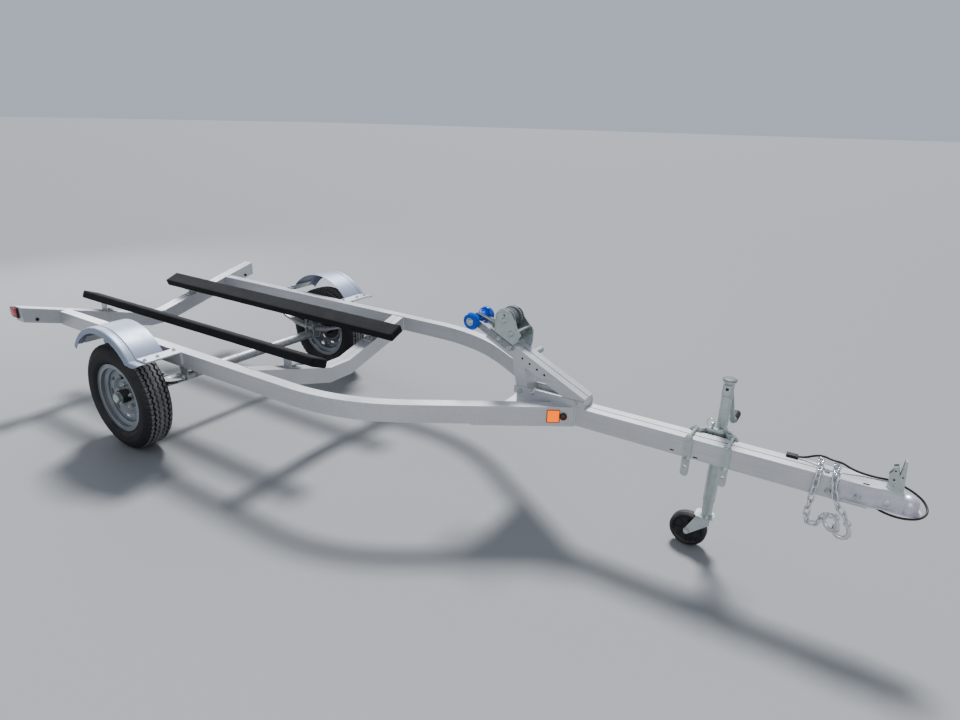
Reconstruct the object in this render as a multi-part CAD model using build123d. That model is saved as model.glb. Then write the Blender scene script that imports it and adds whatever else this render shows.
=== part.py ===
from build123d import *
import math
import os

# Single-axle boat trailer in millimetres: X forward to the hitch, Y to the left, Z up from the floor.
# X is measured from the axle while modelling. The pieces are then moved so that the origin lies on the
# floor under the middle of the trailer's length.

# Wheels and axle
wheel_track = 1330
tyre_radius = 265
tyre_width = 140
rim_seat_radius = 152.4
rim_flange_radius = 170
rim_width = 102
rim_wall = 3
rim_lip = 6
rim_bead_seat = 17
rim_well_slope = 9
rim_slope_shift = 2
drop_depth = 17
disc_thickness = 4
disc_offset = 6
disc_outboard_profile = [(0, 4), (0, 20), (5, 24), (24, 26), (40, 22)]
disc_inboard_profile = [(37.5, 18), (24, 22), (7, 20), (4, 17), (4, 4)]
disc_centre_inset = 54
disc_crown = 16
disc_cut_depth = 20
lug_count = 5
lug_circle_radius = 57.15
lug_hole_radius = 7
vent_count = 8
vent_circle_radius = 104
vent_length = 30
vent_width = 13
hub_radius = 32
hub_bore_radius = 16
hub_outboard = 46
hub_inboard = 38
hub_flange_radius = 72
hub_flange_thickness = 8
hub_barrel_step = 4
hub_end_step = 2
hub_flare = 12
hub_gap = 2
dust_cap_radius = 24
dust_cap_length = 25
dust_cap_rim = 3
dust_cap_chamfer = 5
tyre_bead_rise = 4
tyre_bead_bulge = 3
tyre_shoulder_drop = 13
tyre_shoulder_bulge = 5
tread_round_drop = 4
tread_round_inset = 8
tread_crown = 1
tread_edge_inset = 22
axle_tube_radius = 25.4
spindle_clearance = 0.05
spindle_end_gap = 4

# Frame members
tube_height = 76.2
rail_width = 50.8
rail_tyre_gap = 42
rail_outer_y = wheel_track / 2 - tyre_width / 2 - rail_tyre_gap
rail_top = 516
rail_bend_x = 1281
rail_bend_radius = 900
rail_angle = 33.6
tongue_width = 76.2
tongue_wall = 4.8
tongue_rear_x = 1795
tongue_front_x = 3060
groove_width = 3
groove_depth = 1.6
rear_member_x = -876
front_member_x = 685
member_depth = 76.2
rear_member_overhang = 180
rear_member_half_width = rail_outer_y + rear_member_overhang
rear_meet_inset = 20
rear_slope = 15.5
rear_flat_half = 46
front_slope = 16
front_flat_half = 66
gusset_rear_x = 1718
gusset_thickness = 6
seat_gap = 0.3

# Winch post
mast_angle = 25.8
mast_depth = 50.8
mast_front_x = 2092
mast_front_top = 558
mast_upper_x = 1660
post_wall = 4
mast_hollow_length = 455
mast_hole_count = 4
mast_hole_along = 182
mast_hole_pitch = 37.3
mast_hole_above = -24
mast_hole_radius = 4.5
strut_lean = 11
strut_foot_x = 1795
base_rear_x = 1785
base_front_x = 2094
base_plate = 5
base_ear_height = 30

# Bow roller and winch
roller_reach = 80
roller_x = mast_upper_x - roller_reach
roller_z = 783
roller_disc_radius = 36
roller_disc_width = 26
roller_waist_radius = 21
roller_shaft_radius = 6.35
shaft_clearance = 0.05
arm_thickness = 5
arm_end_radius = 15
arm_outline = [(118, -34), (135, -17), (127, -4), (30, -4)]
roller_shaft_proud = 6
roller_head_radius = 9
roller_head_length = 5
roller_waist_lip = 8
roller_waist_taper = 9
bell_inner_round = [(8, 0), (1, 5), (0, 10)]
bell_outer_round = [(0, 8), (6, 0)]
running_gap = 1.2
drum_along = 38
drum_above = 64
drum_flange_radius = 46
drum_flange_thickness = 3
drum_core_radius = 16
strap_roll_radius = 40
strap_thickness = 2.4
strap_width = 48
drum_width = 52
winch_plate = 4
winch_inner_y = 40
winch_shaft_radius = 8
gear_module = 3
gear_teeth = 28
pinion_teeth = 12
gear_width = 7
gear_root = 1.25
gear_tip = 0.9
tooth_root_half = 0.31
tooth_tip_half = 0.13
pinion_turn = -28
crank_length = 117
crank_angle = -66
crank_clear = 8.5
shaft_proud = 3
tie_along = 112
tie_above = 62
tie_radius = 5
strap_wrap = 150
winch_round_along = 40
winch_round_above = 66
winch_round_radius = 44.5
winch_base_along = (4, 118)
winch_rear_edge = [(62, 98), (-4, 66), (11, 39), (24, 18)]
winch_near_outline = [(30, 0), (121, 0), (131, 24), (133, 57), (104, 74), (84, 94)] + winch_rear_edge
winch_far_outline = [(30, 0), (134, 0), (134, -12), (167, -12), (162, 18), (147, 52), (130, 72), (109, 78)]
winch_far_outline += winch_rear_edge
winch_hole_along = 31.6
winch_hole_above = 85
winch_hole_radius = 4.5
crank_bar = 6
crank_arm_half = 10
crank_eye_radius = 12
grip_radius = 12
grip_length = 85

# Bunks
bunk_length = 1936
bunk_front_x = 906
bunk_width = 95
bunk_thickness = 44
bunk_tilt = 22
bunk_y = 268
bunk_z = 510
bunk_bracket_width = 60
bunk_bracket_depth = 50
bunk_bracket_wall = 5

# Fenders
fender_radius = 278
fender_centre_z = 347
fender_inner_reach = 73
fender_outer_reach = 100
fender_inner_y = wheel_track / 2 - fender_inner_reach
fender_outer_y = wheel_track / 2 + fender_outer_reach
fender_wall = 2
fender_skirt = 28
fender_bead_inset = 37
fender_bead_depth = 3
fender_bead_half = (3, 7)
fender_section_radii = [4, 4, 4, 4, 12]
fender_lap_angle = 1
fender_under_gap = 0.5
fender_rear_angle = 33
fender_foot_length = 78
fender_foot_drop = 21
fender_curl_x = 22
fender_curl_angle = 2.3
bracket_bar_width = 75
bracket_bar_inset = 43
bracket_strip_inset = 49
bracket_bar_thickness = 6
bracket_flange_height = 60
bracket_bar_gap = 3
bracket_strip_arc = 10
bracket_strip_end = 1
bracket_plate_angle = 6
bracket_plate = (-26, 34, -52, 4)

# Springs
spring_width = 44.5
leaf_thickness = 6.5
spring_y = rail_outer_y - rail_width / 2
spring_eye_x = 310
spring_eye_z = 398
spring_eye_radius = 16
spring_pin_radius = 7
spring_pack_bottom = 293
leaf_half_lengths = [spring_eye_x, 235, 150]
hanger_wall = 6
hanger_half_length = 30
hanger_tip_half = 16
hanger_tip_drop = 18
shackle_back = 30
shackle_rise = 22
shackle_thickness = 4
shackle_half_width = 12
rear_hanger_ahead = 24
rear_hanger_tip = 14
pin_proud = 6
saddle_half_length = 32
saddle_rise = 8
ubolt_radius = 5
ubolt_proud = 14
clamp_margin = 12
clamp_gap = 1.4
nut_radius = 8.5
nut_half_height = 4

# Coupler
coupler_rear_x = 2972
coupler_nose_x = 3193
coupler_shoulder_x = coupler_rear_x + 90
coupler_neck_x = coupler_shoulder_x + 36
coupler_slope_x = coupler_neck_x + 24
coupler_neck_half = 33
coupler_neck_taper = 6
coupler_dome_lap = 8
coupler_slope_drop = 9
coupler_dome_drop = 20
coupler_lip_setback = 18
coupler_wall = 4
coupler_side_bottom = 452
coupler_lip = 9
socket_radius = 25.8
socket_depth = 25
latch_thickness = 4
latch_inner_y = 11
latch_profile = [(-26, 0), (-24, 21), (-28, 40), (-19, 57), (-21, 72), (-9, 76), (0, 45), (4, 97), (10, 99)]
latch_profile += [(16, 40), (22, -16.3), (0, -9), (-23.5, 0)]
latch_front_profile = [(4, 97), (10, 99), (16, 40), (22, -16.3), (18, -15), (12, 40)]
latch_saddle_profile = [(-29, 0), (-23.5, 0), (0, -9), (0, -5.5), (-23.5, 3.5), (-29, 3.5)]
latch_saddle_half = 16

# Jack
jack_x = 2575
jack_y = 100
jack_pivot_z = 478
jack_post_radius = 18.8
jack_post_top = 713
jack_cap_radius = 24.2
jack_cap_thickness = 5
jack_sleeve_radius = 22.2
jack_sleeve_top = 522
jack_sleeve_bottom = 215
jack_bore_radius = 19.5
ram_clearance = 0.1
jack_ram_top = 458
jack_shaft_z = 679
jack_shaft_radius = 5.5
jack_arm_gap = 17
jack_arm_length = 135
jack_arm_width = 16
jack_arm_thickness = 6
jack_arm_lean = 11.6
jack_collar_radius = 10.5
jack_collar_length = 8
jack_grip_radius = 13
jack_grip_length = 62
clamp_x = 2562.5
clamp_spacing = 131
clamp_plate_low = 368
clamp_plate_top = 529
clamp_plate_width = 28
clamp_plate_thickness = 6
clamp_bolt_radius = 6
clamp_bolt_proud = 8
clamp_spare_hole_z = 406
hat_half_length = 85
hat_top = 532
hat_low = 422
hat_thickness = 5
hat_depth = 14
hat_plan = [(-85, 0), (-47, 0), (-29, 14), (30, 14), (49, 0), (85, 0)]
hat_plan += [(85, 5), (51, 5), (32, 19), (-31, 19), (-49, 5), (-85, 5)]
hat_corner = 11
pivot_boss_radius = 16
pivot_boss_length = 2
pivot_pin_radius = 11
pivot_pin_length = 16
swivel_outline = [(-45, -26), (-45, 52), (45, 52), (45, -26), (22, -52), (-22, -52)]
swivel_thickness = 6
swivel_shelf_depth = 9
swivel_shelf_half = 45
swivel_web_half = 15
swivel_web_height = 44

# Caster
caster_wheel_radius = 71
caster_wheel_width = 44
caster_trail = 58
caster_side_gap = 2.2
caster_fork_wall = 4
caster_hub_profile = [(18, 0), (24, 7)]
caster_rim_profile = [(20, 7), (13, 0), (6, 2), (0, 11)]
caster_axle_radius = 6
caster_axle_proud = 7
crown_top = 152
crown_thickness = 5
crown_rear = 41
crown_front = 29
crown_half_width = 29.5
crown_corner = 9
stem_radius = 9
stem_length = 31
fork_end_radius = 13
fork_front_drop = 24
fork_end_cut = (8, 10)

# Chains, lamps and wiring
lamp_drop = 62
lamp_depth = 34
lamp_width = 96
lamp_wrap = 8
lamp_height = 56
lamp_side_length = 40
link_wire = 6.5
link_length = 40
link_width = 24
link_pitch = 26.2
link_bend_steps = 5
chain_bolt_radius = 9
chain_bolt_rise = 2
chain_twist = 45
hook_reach = 6
hook_thickness = 8
hook_scale = 0.82
hook_eye_radius = 5.5
hook_outline = [(-13, -8), (-13, 8), (-6, 13), (8, 12), (30, 20), (50, 24), (68, 14), (77, -4), (76, -22)]
hook_outline += [(66, -38), (48, -47), (20, -48), (13, -42), (22, -38), (44, -35), (56, -24), (60, -8)]
hook_outline += [(52, 2), (38, 4), (8, -11), (-6, -13)]
cord_radius = 3.5
reflector_along = 847
reflector_width = 50
reflector_height = 53
reflector_thickness = 3
marker_along = 886
marker_radius = 13
marker_thickness = 8
plug_length = 36
plug_gap = 0.6
plug_width = 22
plug_height = 9
plug_round = 2

wheel_z = tyre_radius
rail_bottom = rail_top - tube_height
rail_inner_y = rail_outer_y - rail_width
tongue_half = tongue_width / 2


def block(x0, x1, y0, y1, z0, z1):
    """Box between two corners."""
    size = Box(x1 - x0, y1 - y0, z1 - z0)
    return Pos((x0 + x1) / 2, (y0 + y1) / 2, (z0 + z1) / 2) * size


def plate_xz(points, y0, y1):
    """Plate with an outline in X and Z, from y0 to y1."""
    upright = Plane(origin=(0, y1, 0), x_dir=(1, 0, 0), z_dir=(0, -1, 0))
    return extrude(upright * make_face(Polyline(*points, close=True)), amount=y1 - y0)


def plate_xy(points, z0, z1):
    """Plate with an outline in X and Y, from z0 to z1."""
    return extrude(Pos(0, 0, z0) * make_face(Polyline(*points, close=True)), amount=z1 - z0)


def plate_yz(points, x0, x1):
    """Plate with an outline in Y and Z, from x0 to x1."""
    upright = Plane(origin=(x0, 0, 0), x_dir=(0, 1, 0), z_dir=(1, 0, 0))
    return extrude(upright * make_face(Polyline(*points, close=True)), amount=x1 - x0)


def bar_y(x, z, radius, y0, y1):
    """Round bar along Y."""
    return Pos(x, (y0 + y1) / 2, z) * Rot(90, 0, 0) * Cylinder(radius, y1 - y0)


def bar_z(x, y, radius, z0, z1):
    """Round bar along Z."""
    return Pos(x, y, (z0 + z1) / 2) * Cylinder(radius, z1 - z0)


def mirror_y(shape):
    """The same piece on the other side of the trailer."""
    return mirror(shape, about=Plane.XZ)


def turned(points):
    """Solid turned about the Y axis from an outline of radius and Y."""
    return revolve(make_face(Polyline(*points, close=True)), axis=Axis.Y)


def make_wheel_pieces(side):
    """Hub, dust cap, rim and tyre of one wheel, with the outboard face toward side."""
    half = rim_width / 2
    seat = rim_seat_radius
    well = seat - drop_depth
    flange = rim_flange_radius
    slope_top = half - rim_bead_seat
    slope_low = slope_top - rim_well_slope
    outer = [(flange, half + rim_lip), (flange, half), (seat, half), (seat, slope_top), (well, slope_low)]
    inner = [(well - rim_wall, slope_low + rim_slope_shift), (seat - rim_wall, slope_top + rim_slope_shift)]
    inner += [(seat - rim_wall, half + rim_wall), (flange - rim_wall, half + rim_wall)]
    inner += [(flange - rim_wall, half + rim_lip)]
    outline = outer + [(r, -y) for r, y in reversed(outer)]
    outline += [(r, -y) for r, y in reversed(inner)] + inner
    rim = turned(outline)
    face_y = disc_offset + disc_thickness
    edge = well - rim_wall
    centre = edge - disc_centre_inset
    disc_top = [(edge - inset, y) for inset, y in disc_outboard_profile] + [(centre, face_y)]
    disc_low = [(hub_radius + seat_gap, face_y), (hub_radius + seat_gap, disc_offset)]
    disc_low += [(centre + disc_thickness / 2, disc_offset)]
    disc_low += [(edge - inset, y) for inset, y in disc_inboard_profile]
    disc = turned(disc_top + disc_low)
    for index in range(vent_count):
        slot = Rot(0, index * 360 / vent_count, 0) * Pos(0, disc_crown, vent_circle_radius) * Rot(90, 0, 0)
        disc -= slot * extrude(SlotOverall(vent_length, vent_width), amount=disc_cut_depth, both=True)
    for index in range(lug_count):
        hole = Rot(0, index * 360 / lug_count, 0) * Pos(0, face_y, lug_circle_radius) * Rot(90, 0, 0)
        disc -= hole * Cylinder(lug_hole_radius, disc_cut_depth)
    rim = rim + disc

    bead = seat + seat_gap
    side_r = (flange + tyre_radius - tyre_shoulder_drop) / 2
    bulge = tyre_width / 2
    foot = half - seat_gap
    low = (flange + tyre_bead_rise, half + tyre_bead_bulge)
    shoulder = (tyre_radius - tyre_shoulder_drop, half + tyre_shoulder_bulge)
    corner = (tyre_radius - tread_round_drop, half - tread_round_inset)
    tread = (tyre_radius - tread_crown, half - tread_edge_inset)

    def inboard(point):
        return (point[0], -point[1])

    section = Wire([
        Line((bead, foot), (flange, foot)),
        Line((flange, foot), low),
        ThreePointArc(low, (side_r, bulge), shoulder),
        ThreePointArc(shoulder, corner, tread),
        Line(tread, (tyre_radius, 0)),
        Line((tyre_radius, 0), inboard(tread)),
        ThreePointArc(inboard(tread), inboard(corner), inboard(shoulder)),
        ThreePointArc(inboard(shoulder), (side_r, -bulge), inboard(low)),
        Line(inboard(low), (flange, -foot)),
        Line((flange, -foot), (bead, -foot)),
        Line((bead, -foot), (bead, foot)),
    ])
    tyre = revolve(make_face(section), axis=Axis.Y)

    hub_back = disc_offset - hub_flange_thickness
    barrel = hub_radius + hub_barrel_step
    hub = turned([
        (hub_bore_radius, -hub_inboard), (hub_radius - hub_end_step, -hub_inboard),
        (barrel, hub_back - hub_flare),
        (barrel, hub_back), (hub_flange_radius, hub_back), (hub_flange_radius, disc_offset),
        (hub_radius, disc_offset), (hub_radius, hub_outboard), (hub_bore_radius, hub_outboard),
    ])
    cap_end = hub_outboard + dust_cap_length
    cap_low = hub_outboard + seat_gap
    cap_step = hub_outboard + dust_cap_rim
    cap_rim = dust_cap_radius + dust_cap_rim
    cap = turned([
        (0, cap_low), (cap_rim, cap_low), (cap_rim, cap_step), (dust_cap_radius, cap_step),
        (dust_cap_radius, cap_end - dust_cap_chamfer), (dust_cap_radius - dust_cap_chamfer, cap_end),
        (0, cap_end),
    ])
    place = Pos(0, wheel_track / 2, wheel_z)
    pieces = {"hub": hub, "dust_cap": cap, "rim": rim, "tyre": tyre}
    placed = {name: place * shape for name, shape in pieces.items()}
    if side == "right":
        placed = {name: mirror_y(shape) for name, shape in placed.items()}
    return {f"{name}_{side}": shape for name, shape in placed.items()}


def make_axle():
    """Round axle tube with a stub spindle at each end."""
    tube_end = wheel_track / 2 - hub_inboard - hub_gap
    spindle_end = wheel_track / 2 + hub_outboard - spindle_end_gap
    axle = bar_y(0, wheel_z, axle_tube_radius, -tube_end, tube_end)
    return axle + bar_y(0, wheel_z, hub_bore_radius - spindle_clearance, -spindle_end, spindle_end)


def make_rail():
    """Left side rail: straight, then bent inward to the tongue."""
    slope = math.radians(rail_angle)
    setback = rail_width * math.tan(slope / 2)
    start = rear_member_x + member_depth
    outer_end = rail_bend_x + (rail_outer_y - tongue_half) / math.tan(slope)
    inner_corner = rail_bend_x - setback
    inner_end = inner_corner + (rail_inner_y - tongue_half) / math.tan(slope)
    points = [(start, rail_outer_y), (rail_bend_x, rail_outer_y), (outer_end, tongue_half)]
    points += [(inner_end, tongue_half), (inner_corner, rail_inner_y), (start, rail_inner_y)]
    face = make_face(Polyline(*points, close=True))
    corners = face.vertices()
    outer_corner = corners.sort_by_distance((rail_bend_x, rail_outer_y, 0))[0]
    face = fillet(outer_corner, rail_bend_radius)
    inner = face.vertices().sort_by_distance((inner_corner, rail_inner_y, 0))[0]
    face = fillet(inner, rail_bend_radius - rail_width)
    return extrude(Pos(0, 0, rail_bottom) * face, amount=tube_height)


def make_cross_member(x, half_width, meet_y, slope_degrees, flat_half):
    """Shallow V of two sloping arms and a flat centre piece, its top level with the rails at meet_y."""
    slope = math.radians(slope_degrees)
    centre_top = rail_top - (meet_y - flat_half) * math.tan(slope)
    end_top = centre_top + (half_width - flat_half) * math.tan(slope)
    low_half = flat_half + tube_height * math.tan(slope / 2)
    end_low = end_top - tube_height / math.cos(slope)
    right = [(flat_half, centre_top), (half_width, end_top), (half_width, end_low)]
    right += [(low_half, centre_top - tube_height)]
    left = [(-y, z) for y, z in reversed(right)]
    member = plate_yz(right + left, x, x + member_depth)
    top = [(flat_half, centre_top), (half_width, end_top)]
    top = [(-y, z) for y, z in reversed(top)] + top
    low = [(y, z - groove_depth) for y, z in reversed(top)]
    middle = x + member_depth / 2
    return member - plate_yz(top + low, middle - groove_width / 2, middle + groove_width / 2)


def make_tongue():
    """Square tongue tube, open at both ends, with a groove along its top."""
    outside = block(tongue_rear_x, tongue_front_x, -tongue_half, tongue_half, rail_bottom, rail_top)
    inside = tongue_half - tongue_wall
    low = rail_bottom + tongue_wall
    hollow = block(tongue_rear_x, tongue_front_x, -inside, inside, low, rail_top - tongue_wall)
    groove_low = rail_top - groove_depth
    groove = block(tongue_rear_x, tongue_front_x, -groove_width / 2, groove_width / 2, groove_low, rail_top)
    return outside - hollow - groove


def make_gusset():
    """Flat plate under the rails and the tongue where they meet."""
    slope = math.radians(rail_angle)
    reach = rail_bend_x + rail_outer_y / math.tan(slope)
    rear_half = (reach - gusset_rear_x) * math.tan(slope)
    front_half = tongue_half
    front_x = reach - front_half / math.tan(slope)
    points = [(gusset_rear_x, -rear_half), (front_x, -front_half), (front_x, front_half)]
    points += [(gusset_rear_x, rear_half)]
    return plate_xy(points, rail_bottom - gusset_thickness, rail_bottom)


def mast_top_z(x):
    """Height of the mast's top face at x."""
    return mast_front_top + (mast_front_x - x) * math.tan(math.radians(mast_angle))


def make_mast():
    """Sloping mast tube with a closed upright foot, an open upper end and holes across it."""
    slope = math.radians(mast_angle)
    drop = mast_depth / math.cos(slope)
    foot_z = rail_top + base_plate
    foot_x = mast_front_x - (foot_z - (mast_front_top - drop)) / math.tan(slope)
    upper_z = mast_top_z(mast_upper_x)
    outline = [(mast_front_x, mast_front_top), (mast_front_x, foot_z), (foot_x, foot_z)]
    outline += [on_mast(0, -mast_depth), (mast_upper_x, upper_z)]
    mast = plate_xz(outline, -tongue_half, tongue_half)
    groove_z = groove_depth / math.cos(slope)
    groove = [(mast_front_x, mast_front_top), (mast_upper_x, upper_z), (mast_upper_x, upper_z - groove_z)]
    groove += [(mast_front_x, mast_front_top - groove_z)]
    mast -= plate_xz(groove, -groove_width / 2, groove_width / 2)
    high = -post_wall
    low = post_wall - mast_depth
    end = mast_hollow_length
    hollow = [on_mast(-1, high), on_mast(end, high), on_mast(end, low), on_mast(-1, low)]
    mast -= plate_xz(hollow, post_wall - tongue_half, tongue_half - post_wall)
    for index in range(mast_hole_count):
        x, z = on_mast(mast_hole_along + index * mast_hole_pitch, mast_hole_above)
        mast -= bar_y(x, z, mast_hole_radius, -tongue_half - 1, tongue_half + 1)
    return mast


def make_strut():
    """Short post from the base bracket up to the mast's underside."""
    lean = math.tan(math.radians(strut_lean))
    slope = math.tan(math.radians(mast_angle))
    foot_z = rail_top + base_plate
    width = mast_depth / math.cos(math.radians(strut_lean))
    drop = mast_depth / math.cos(math.radians(mast_angle))

    def meet(foot_x):
        rise = (mast_top_z(foot_x) - drop - foot_z) / (1 - lean * slope)
        return (foot_x - lean * rise, foot_z + rise)

    rear = strut_foot_x
    front = strut_foot_x + width
    return plate_xz([(rear, foot_z), (front, foot_z), meet(front), meet(rear)], -tongue_half, tongue_half)


def make_mast_base():
    """Channel over the tongue that holds the feet of the mast and the strut between its ears."""
    inner = tongue_half + seat_gap
    outer = inner + base_plate
    ear_top = rail_top + base_ear_height
    body = block(base_rear_x, base_front_x, -outer, outer, rail_top, ear_top)
    return body - block(base_rear_x, base_front_x, -inner, inner, rail_top + base_plate, ear_top)


def on_mast(along, above):
    """X and Z of a place along the mast's top face from its upper end, and above that face."""
    slope = math.radians(mast_angle)
    x = mast_upper_x + along * math.cos(slope) + above * math.sin(slope)
    z = mast_top_z(mast_upper_x) - along * math.sin(slope) + above * math.cos(slope)
    return (x, z)


def make_roller_bracket():
    """Two arms from the mast's sides up to the roller shaft, with the shaft fixed in them."""
    inner = tongue_half + seat_gap
    outer = inner + arm_thickness
    rise = arm_end_radius * math.cos(math.radians(mast_angle))
    run = arm_end_radius * math.sin(math.radians(mast_angle))
    outline = [(roller_x + run, roller_z + rise), (roller_x - run, roller_z - rise)]
    outline += [on_mast(*point) for point in arm_outline]
    arm = plate_xz(outline, inner, outer) + bar_y(roller_x, roller_z, arm_end_radius, inner, outer)
    shaft_end = outer + running_gap + roller_disc_width + roller_shaft_proud
    shaft = bar_y(roller_x, roller_z, roller_shaft_radius, -shaft_end, shaft_end)
    head = bar_y(roller_x, roller_z, roller_head_radius, shaft_end - roller_head_length, shaft_end)
    return arm + mirror_y(arm) + shaft + head + mirror_y(head)


def make_bow_roller():
    """Waist roller between the arms and a bell disc outside each arm."""
    bore = roller_shaft_radius + shaft_clearance
    waist_half = tongue_half + seat_gap - running_gap
    lip = roller_waist_radius + roller_waist_lip
    narrow = waist_half - roller_waist_taper
    waist = turned([
        (bore, -waist_half), (lip, -waist_half), (roller_waist_radius, -narrow),
        (roller_waist_radius, narrow), (lip, waist_half), (bore, waist_half),
    ])
    start = tongue_half + seat_gap + arm_thickness + running_gap
    end = start + roller_disc_width
    radius = roller_disc_radius
    profile = [(bore, start)] + [(radius - drop, start + inset) for drop, inset in bell_inner_round]
    profile += [(radius - drop, end - inset) for drop, inset in bell_outer_round] + [(bore, end)]
    bell = turned(profile)
    place = Pos(roller_x, 0, roller_z)
    return Compound(children=[place * waist, place * bell, place * mirror_y(bell)])


def winch_side(outline, y0, y1):
    """Side plate of the winch: an outline along the mast with a round top over the drum."""
    x, z = on_mast(winch_round_along, winch_round_above)
    reach = 2 * winch_round_radius
    upper = [(-reach, 0), (reach, 0), (reach, reach), (-reach, reach)]
    upper = [on_mast(along, above + winch_round_above) for along, above in upper]
    round_top = bar_y(x, z, winch_round_radius, y0, y1) & plate_xz(upper, y0, y1)
    return plate_xz([on_mast(*point) for point in outline], y0, y1) + round_top


def make_winch_frame():
    """Folded winch frame: a base on the mast, two side plates and a tie bar."""
    start, end = winch_base_along
    base = [on_mast(start, 0), on_mast(end, 0), on_mast(end, winch_plate), on_mast(start, winch_plate)]
    outer = winch_inner_y + winch_plate
    tie_x, tie_z = on_mast(tie_along, tie_above)
    tie_end = outer + shaft_proud
    frame = plate_xz(base, -outer, outer)
    frame += winch_side(winch_near_outline, -outer, -winch_inner_y)
    frame += winch_side(winch_far_outline, winch_inner_y, outer)
    frame += bar_y(tie_x, tie_z, tie_radius, -tie_end, tie_end)
    for x, z in (on_mast(drum_along, drum_above), pinion_place()):
        frame -= bar_y(x, z, winch_shaft_radius + shaft_clearance, -outer - 1, outer + 1)
    hole_x, hole_z = on_mast(winch_hole_along, winch_hole_above)
    return frame - bar_y(hole_x, hole_z, winch_hole_radius, -outer - 1, -winch_inner_y + 1)


def pinion_place():
    """X and Z of the crank shaft, in mesh with the drum's gear."""
    distance = gear_module * (gear_teeth + pinion_teeth) / 2
    turn = math.radians(pinion_turn)
    return on_mast(drum_along + distance * math.cos(turn), drum_above + distance * math.sin(turn))


def gear_wheel(teeth, y0, y1):
    """Spur gear about Y with straight-sided teeth."""
    pitch_radius = gear_module * teeth / 2
    step = 2 * math.pi / teeth
    points = []
    root = pitch_radius - gear_root * gear_module
    tip = pitch_radius + gear_tip * gear_module
    for index in range(teeth):
        centre = index * step
        points += [(root, centre - tooth_root_half * step), (tip, centre - tooth_tip_half * step)]
        points += [(tip, centre + tooth_tip_half * step), (root, centre + tooth_root_half * step)]
    outline = [(radius * math.cos(angle), radius * math.sin(angle)) for radius, angle in points]
    return plate_xz(outline, y0, y1)


def make_winch_drum():
    """Drum core with its shaft, two flanges and the gear beside the left flange."""
    half = drum_width / 2
    end = winch_inner_y + winch_plate + shaft_proud
    drum = bar_y(0, 0, drum_core_radius, -half, half) + bar_y(0, 0, winch_shaft_radius, -end, end)
    flange = bar_y(0, 0, drum_flange_radius, half, half + drum_flange_thickness)
    drum += flange + mirror_y(flange)
    gear_start = half + drum_flange_thickness
    away_x, away_z = direction_to_drum()
    line = math.degrees(math.atan2(-away_z, -away_x))
    drum += Rot(0, -line, 0) * gear_wheel(gear_teeth, gear_start, gear_start + gear_width)
    drum_x, drum_z = on_mast(drum_along, drum_above)
    return Pos(drum_x, 0, drum_z) * drum


def make_strap_roll():
    """Strap wound on the drum."""
    half = strap_width / 2
    inner = drum_core_radius + seat_gap
    ring = turned([(inner, -half), (strap_roll_radius, -half), (strap_roll_radius, half), (inner, half)])
    drum_x, drum_z = on_mast(drum_along, drum_above)
    return Pos(drum_x, 0, drum_z) * ring


def make_winch_strap():
    """Strap from the underside of the roll up over the bow roller's waist and round it."""
    drum_x, drum_z = on_mast(drum_along, drum_above)
    big = strap_roll_radius + seat_gap + strap_thickness / 2
    small = roller_waist_radius + seat_gap + strap_thickness / 2
    dx = roller_x - drum_x
    dz = roller_z - drum_z
    along = math.atan2(dz, dx)
    lean = math.acos((big + small) / math.hypot(dx, dz))
    leave = along + lean
    meet = leave + math.pi
    end = meet + math.radians(strap_wrap)
    middle = (meet + end) / 2
    half = strap_thickness / 2

    def at_drum(radius):
        return (drum_x + radius * math.cos(leave), drum_z + radius * math.sin(leave))

    def at_roller(radius, angle):
        return (roller_x + radius * math.cos(angle), roller_z + radius * math.sin(angle))

    outside = small + half
    inside = small - half
    face = make_face([
        Line(at_drum(big + half), at_roller(inside, meet)),
        ThreePointArc(at_roller(inside, meet), at_roller(inside, middle), at_roller(inside, end)),
        Line(at_roller(inside, end), at_roller(outside, end)),
        ThreePointArc(at_roller(outside, end), at_roller(outside, middle), at_roller(outside, meet)),
        Line(at_roller(outside, meet), at_drum(big - half)),
        Line(at_drum(big - half), at_drum(big + half)),
    ])
    band = Plane(origin=(0, strap_width / 2, 0), x_dir=(1, 0, 0), z_dir=(0, -1, 0)) * face
    return extrude(band, amount=strap_width)


def make_winch_crank():
    """Crank shaft with its pinion, arm and grip on the left side."""
    crank_x, crank_z = pinion_place()
    outer = winch_inner_y + winch_plate
    gear_start = drum_width / 2 + drum_flange_thickness
    phase = 180 / pinion_teeth
    away_x, away_z = direction_to_drum()
    line = math.degrees(math.atan2(away_z, away_x))
    gear = Rot(0, -(line + phase), 0) * gear_wheel(pinion_teeth, gear_start, gear_start + gear_width)
    arm_y = outer + crank_clear
    shaft = bar_y(0, 0, winch_shaft_radius, -outer - shaft_proud, arm_y + crank_bar)
    arm = block(0, crank_length, arm_y, arm_y + crank_bar, -crank_arm_half, crank_arm_half)
    for x in (0, crank_length):
        arm += bar_y(x, 0, crank_eye_radius, arm_y, arm_y + crank_bar)
    grip = bar_y(crank_length, 0, grip_radius, arm_y + crank_bar, arm_y + crank_bar + grip_length)
    turn = Rot(0, -crank_angle, 0)
    return Pos(crank_x, 0, crank_z) * (gear + shaft + turn * (arm + grip))


def direction_to_drum():
    """Vector from the crank shaft to the drum shaft."""
    drum_x, drum_z = on_mast(drum_along, drum_above)
    crank_x, crank_z = pinion_place()
    return (drum_x - crank_x, drum_z - crank_z)


def make_bunk():
    """Carpeted left bunk board, tilted to face the hull."""
    board = Box(bunk_length, bunk_width, bunk_thickness)
    return Pos(bunk_front_x - bunk_length / 2, bunk_y, bunk_z) * Rot(bunk_tilt, 0, 0) * board


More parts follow.
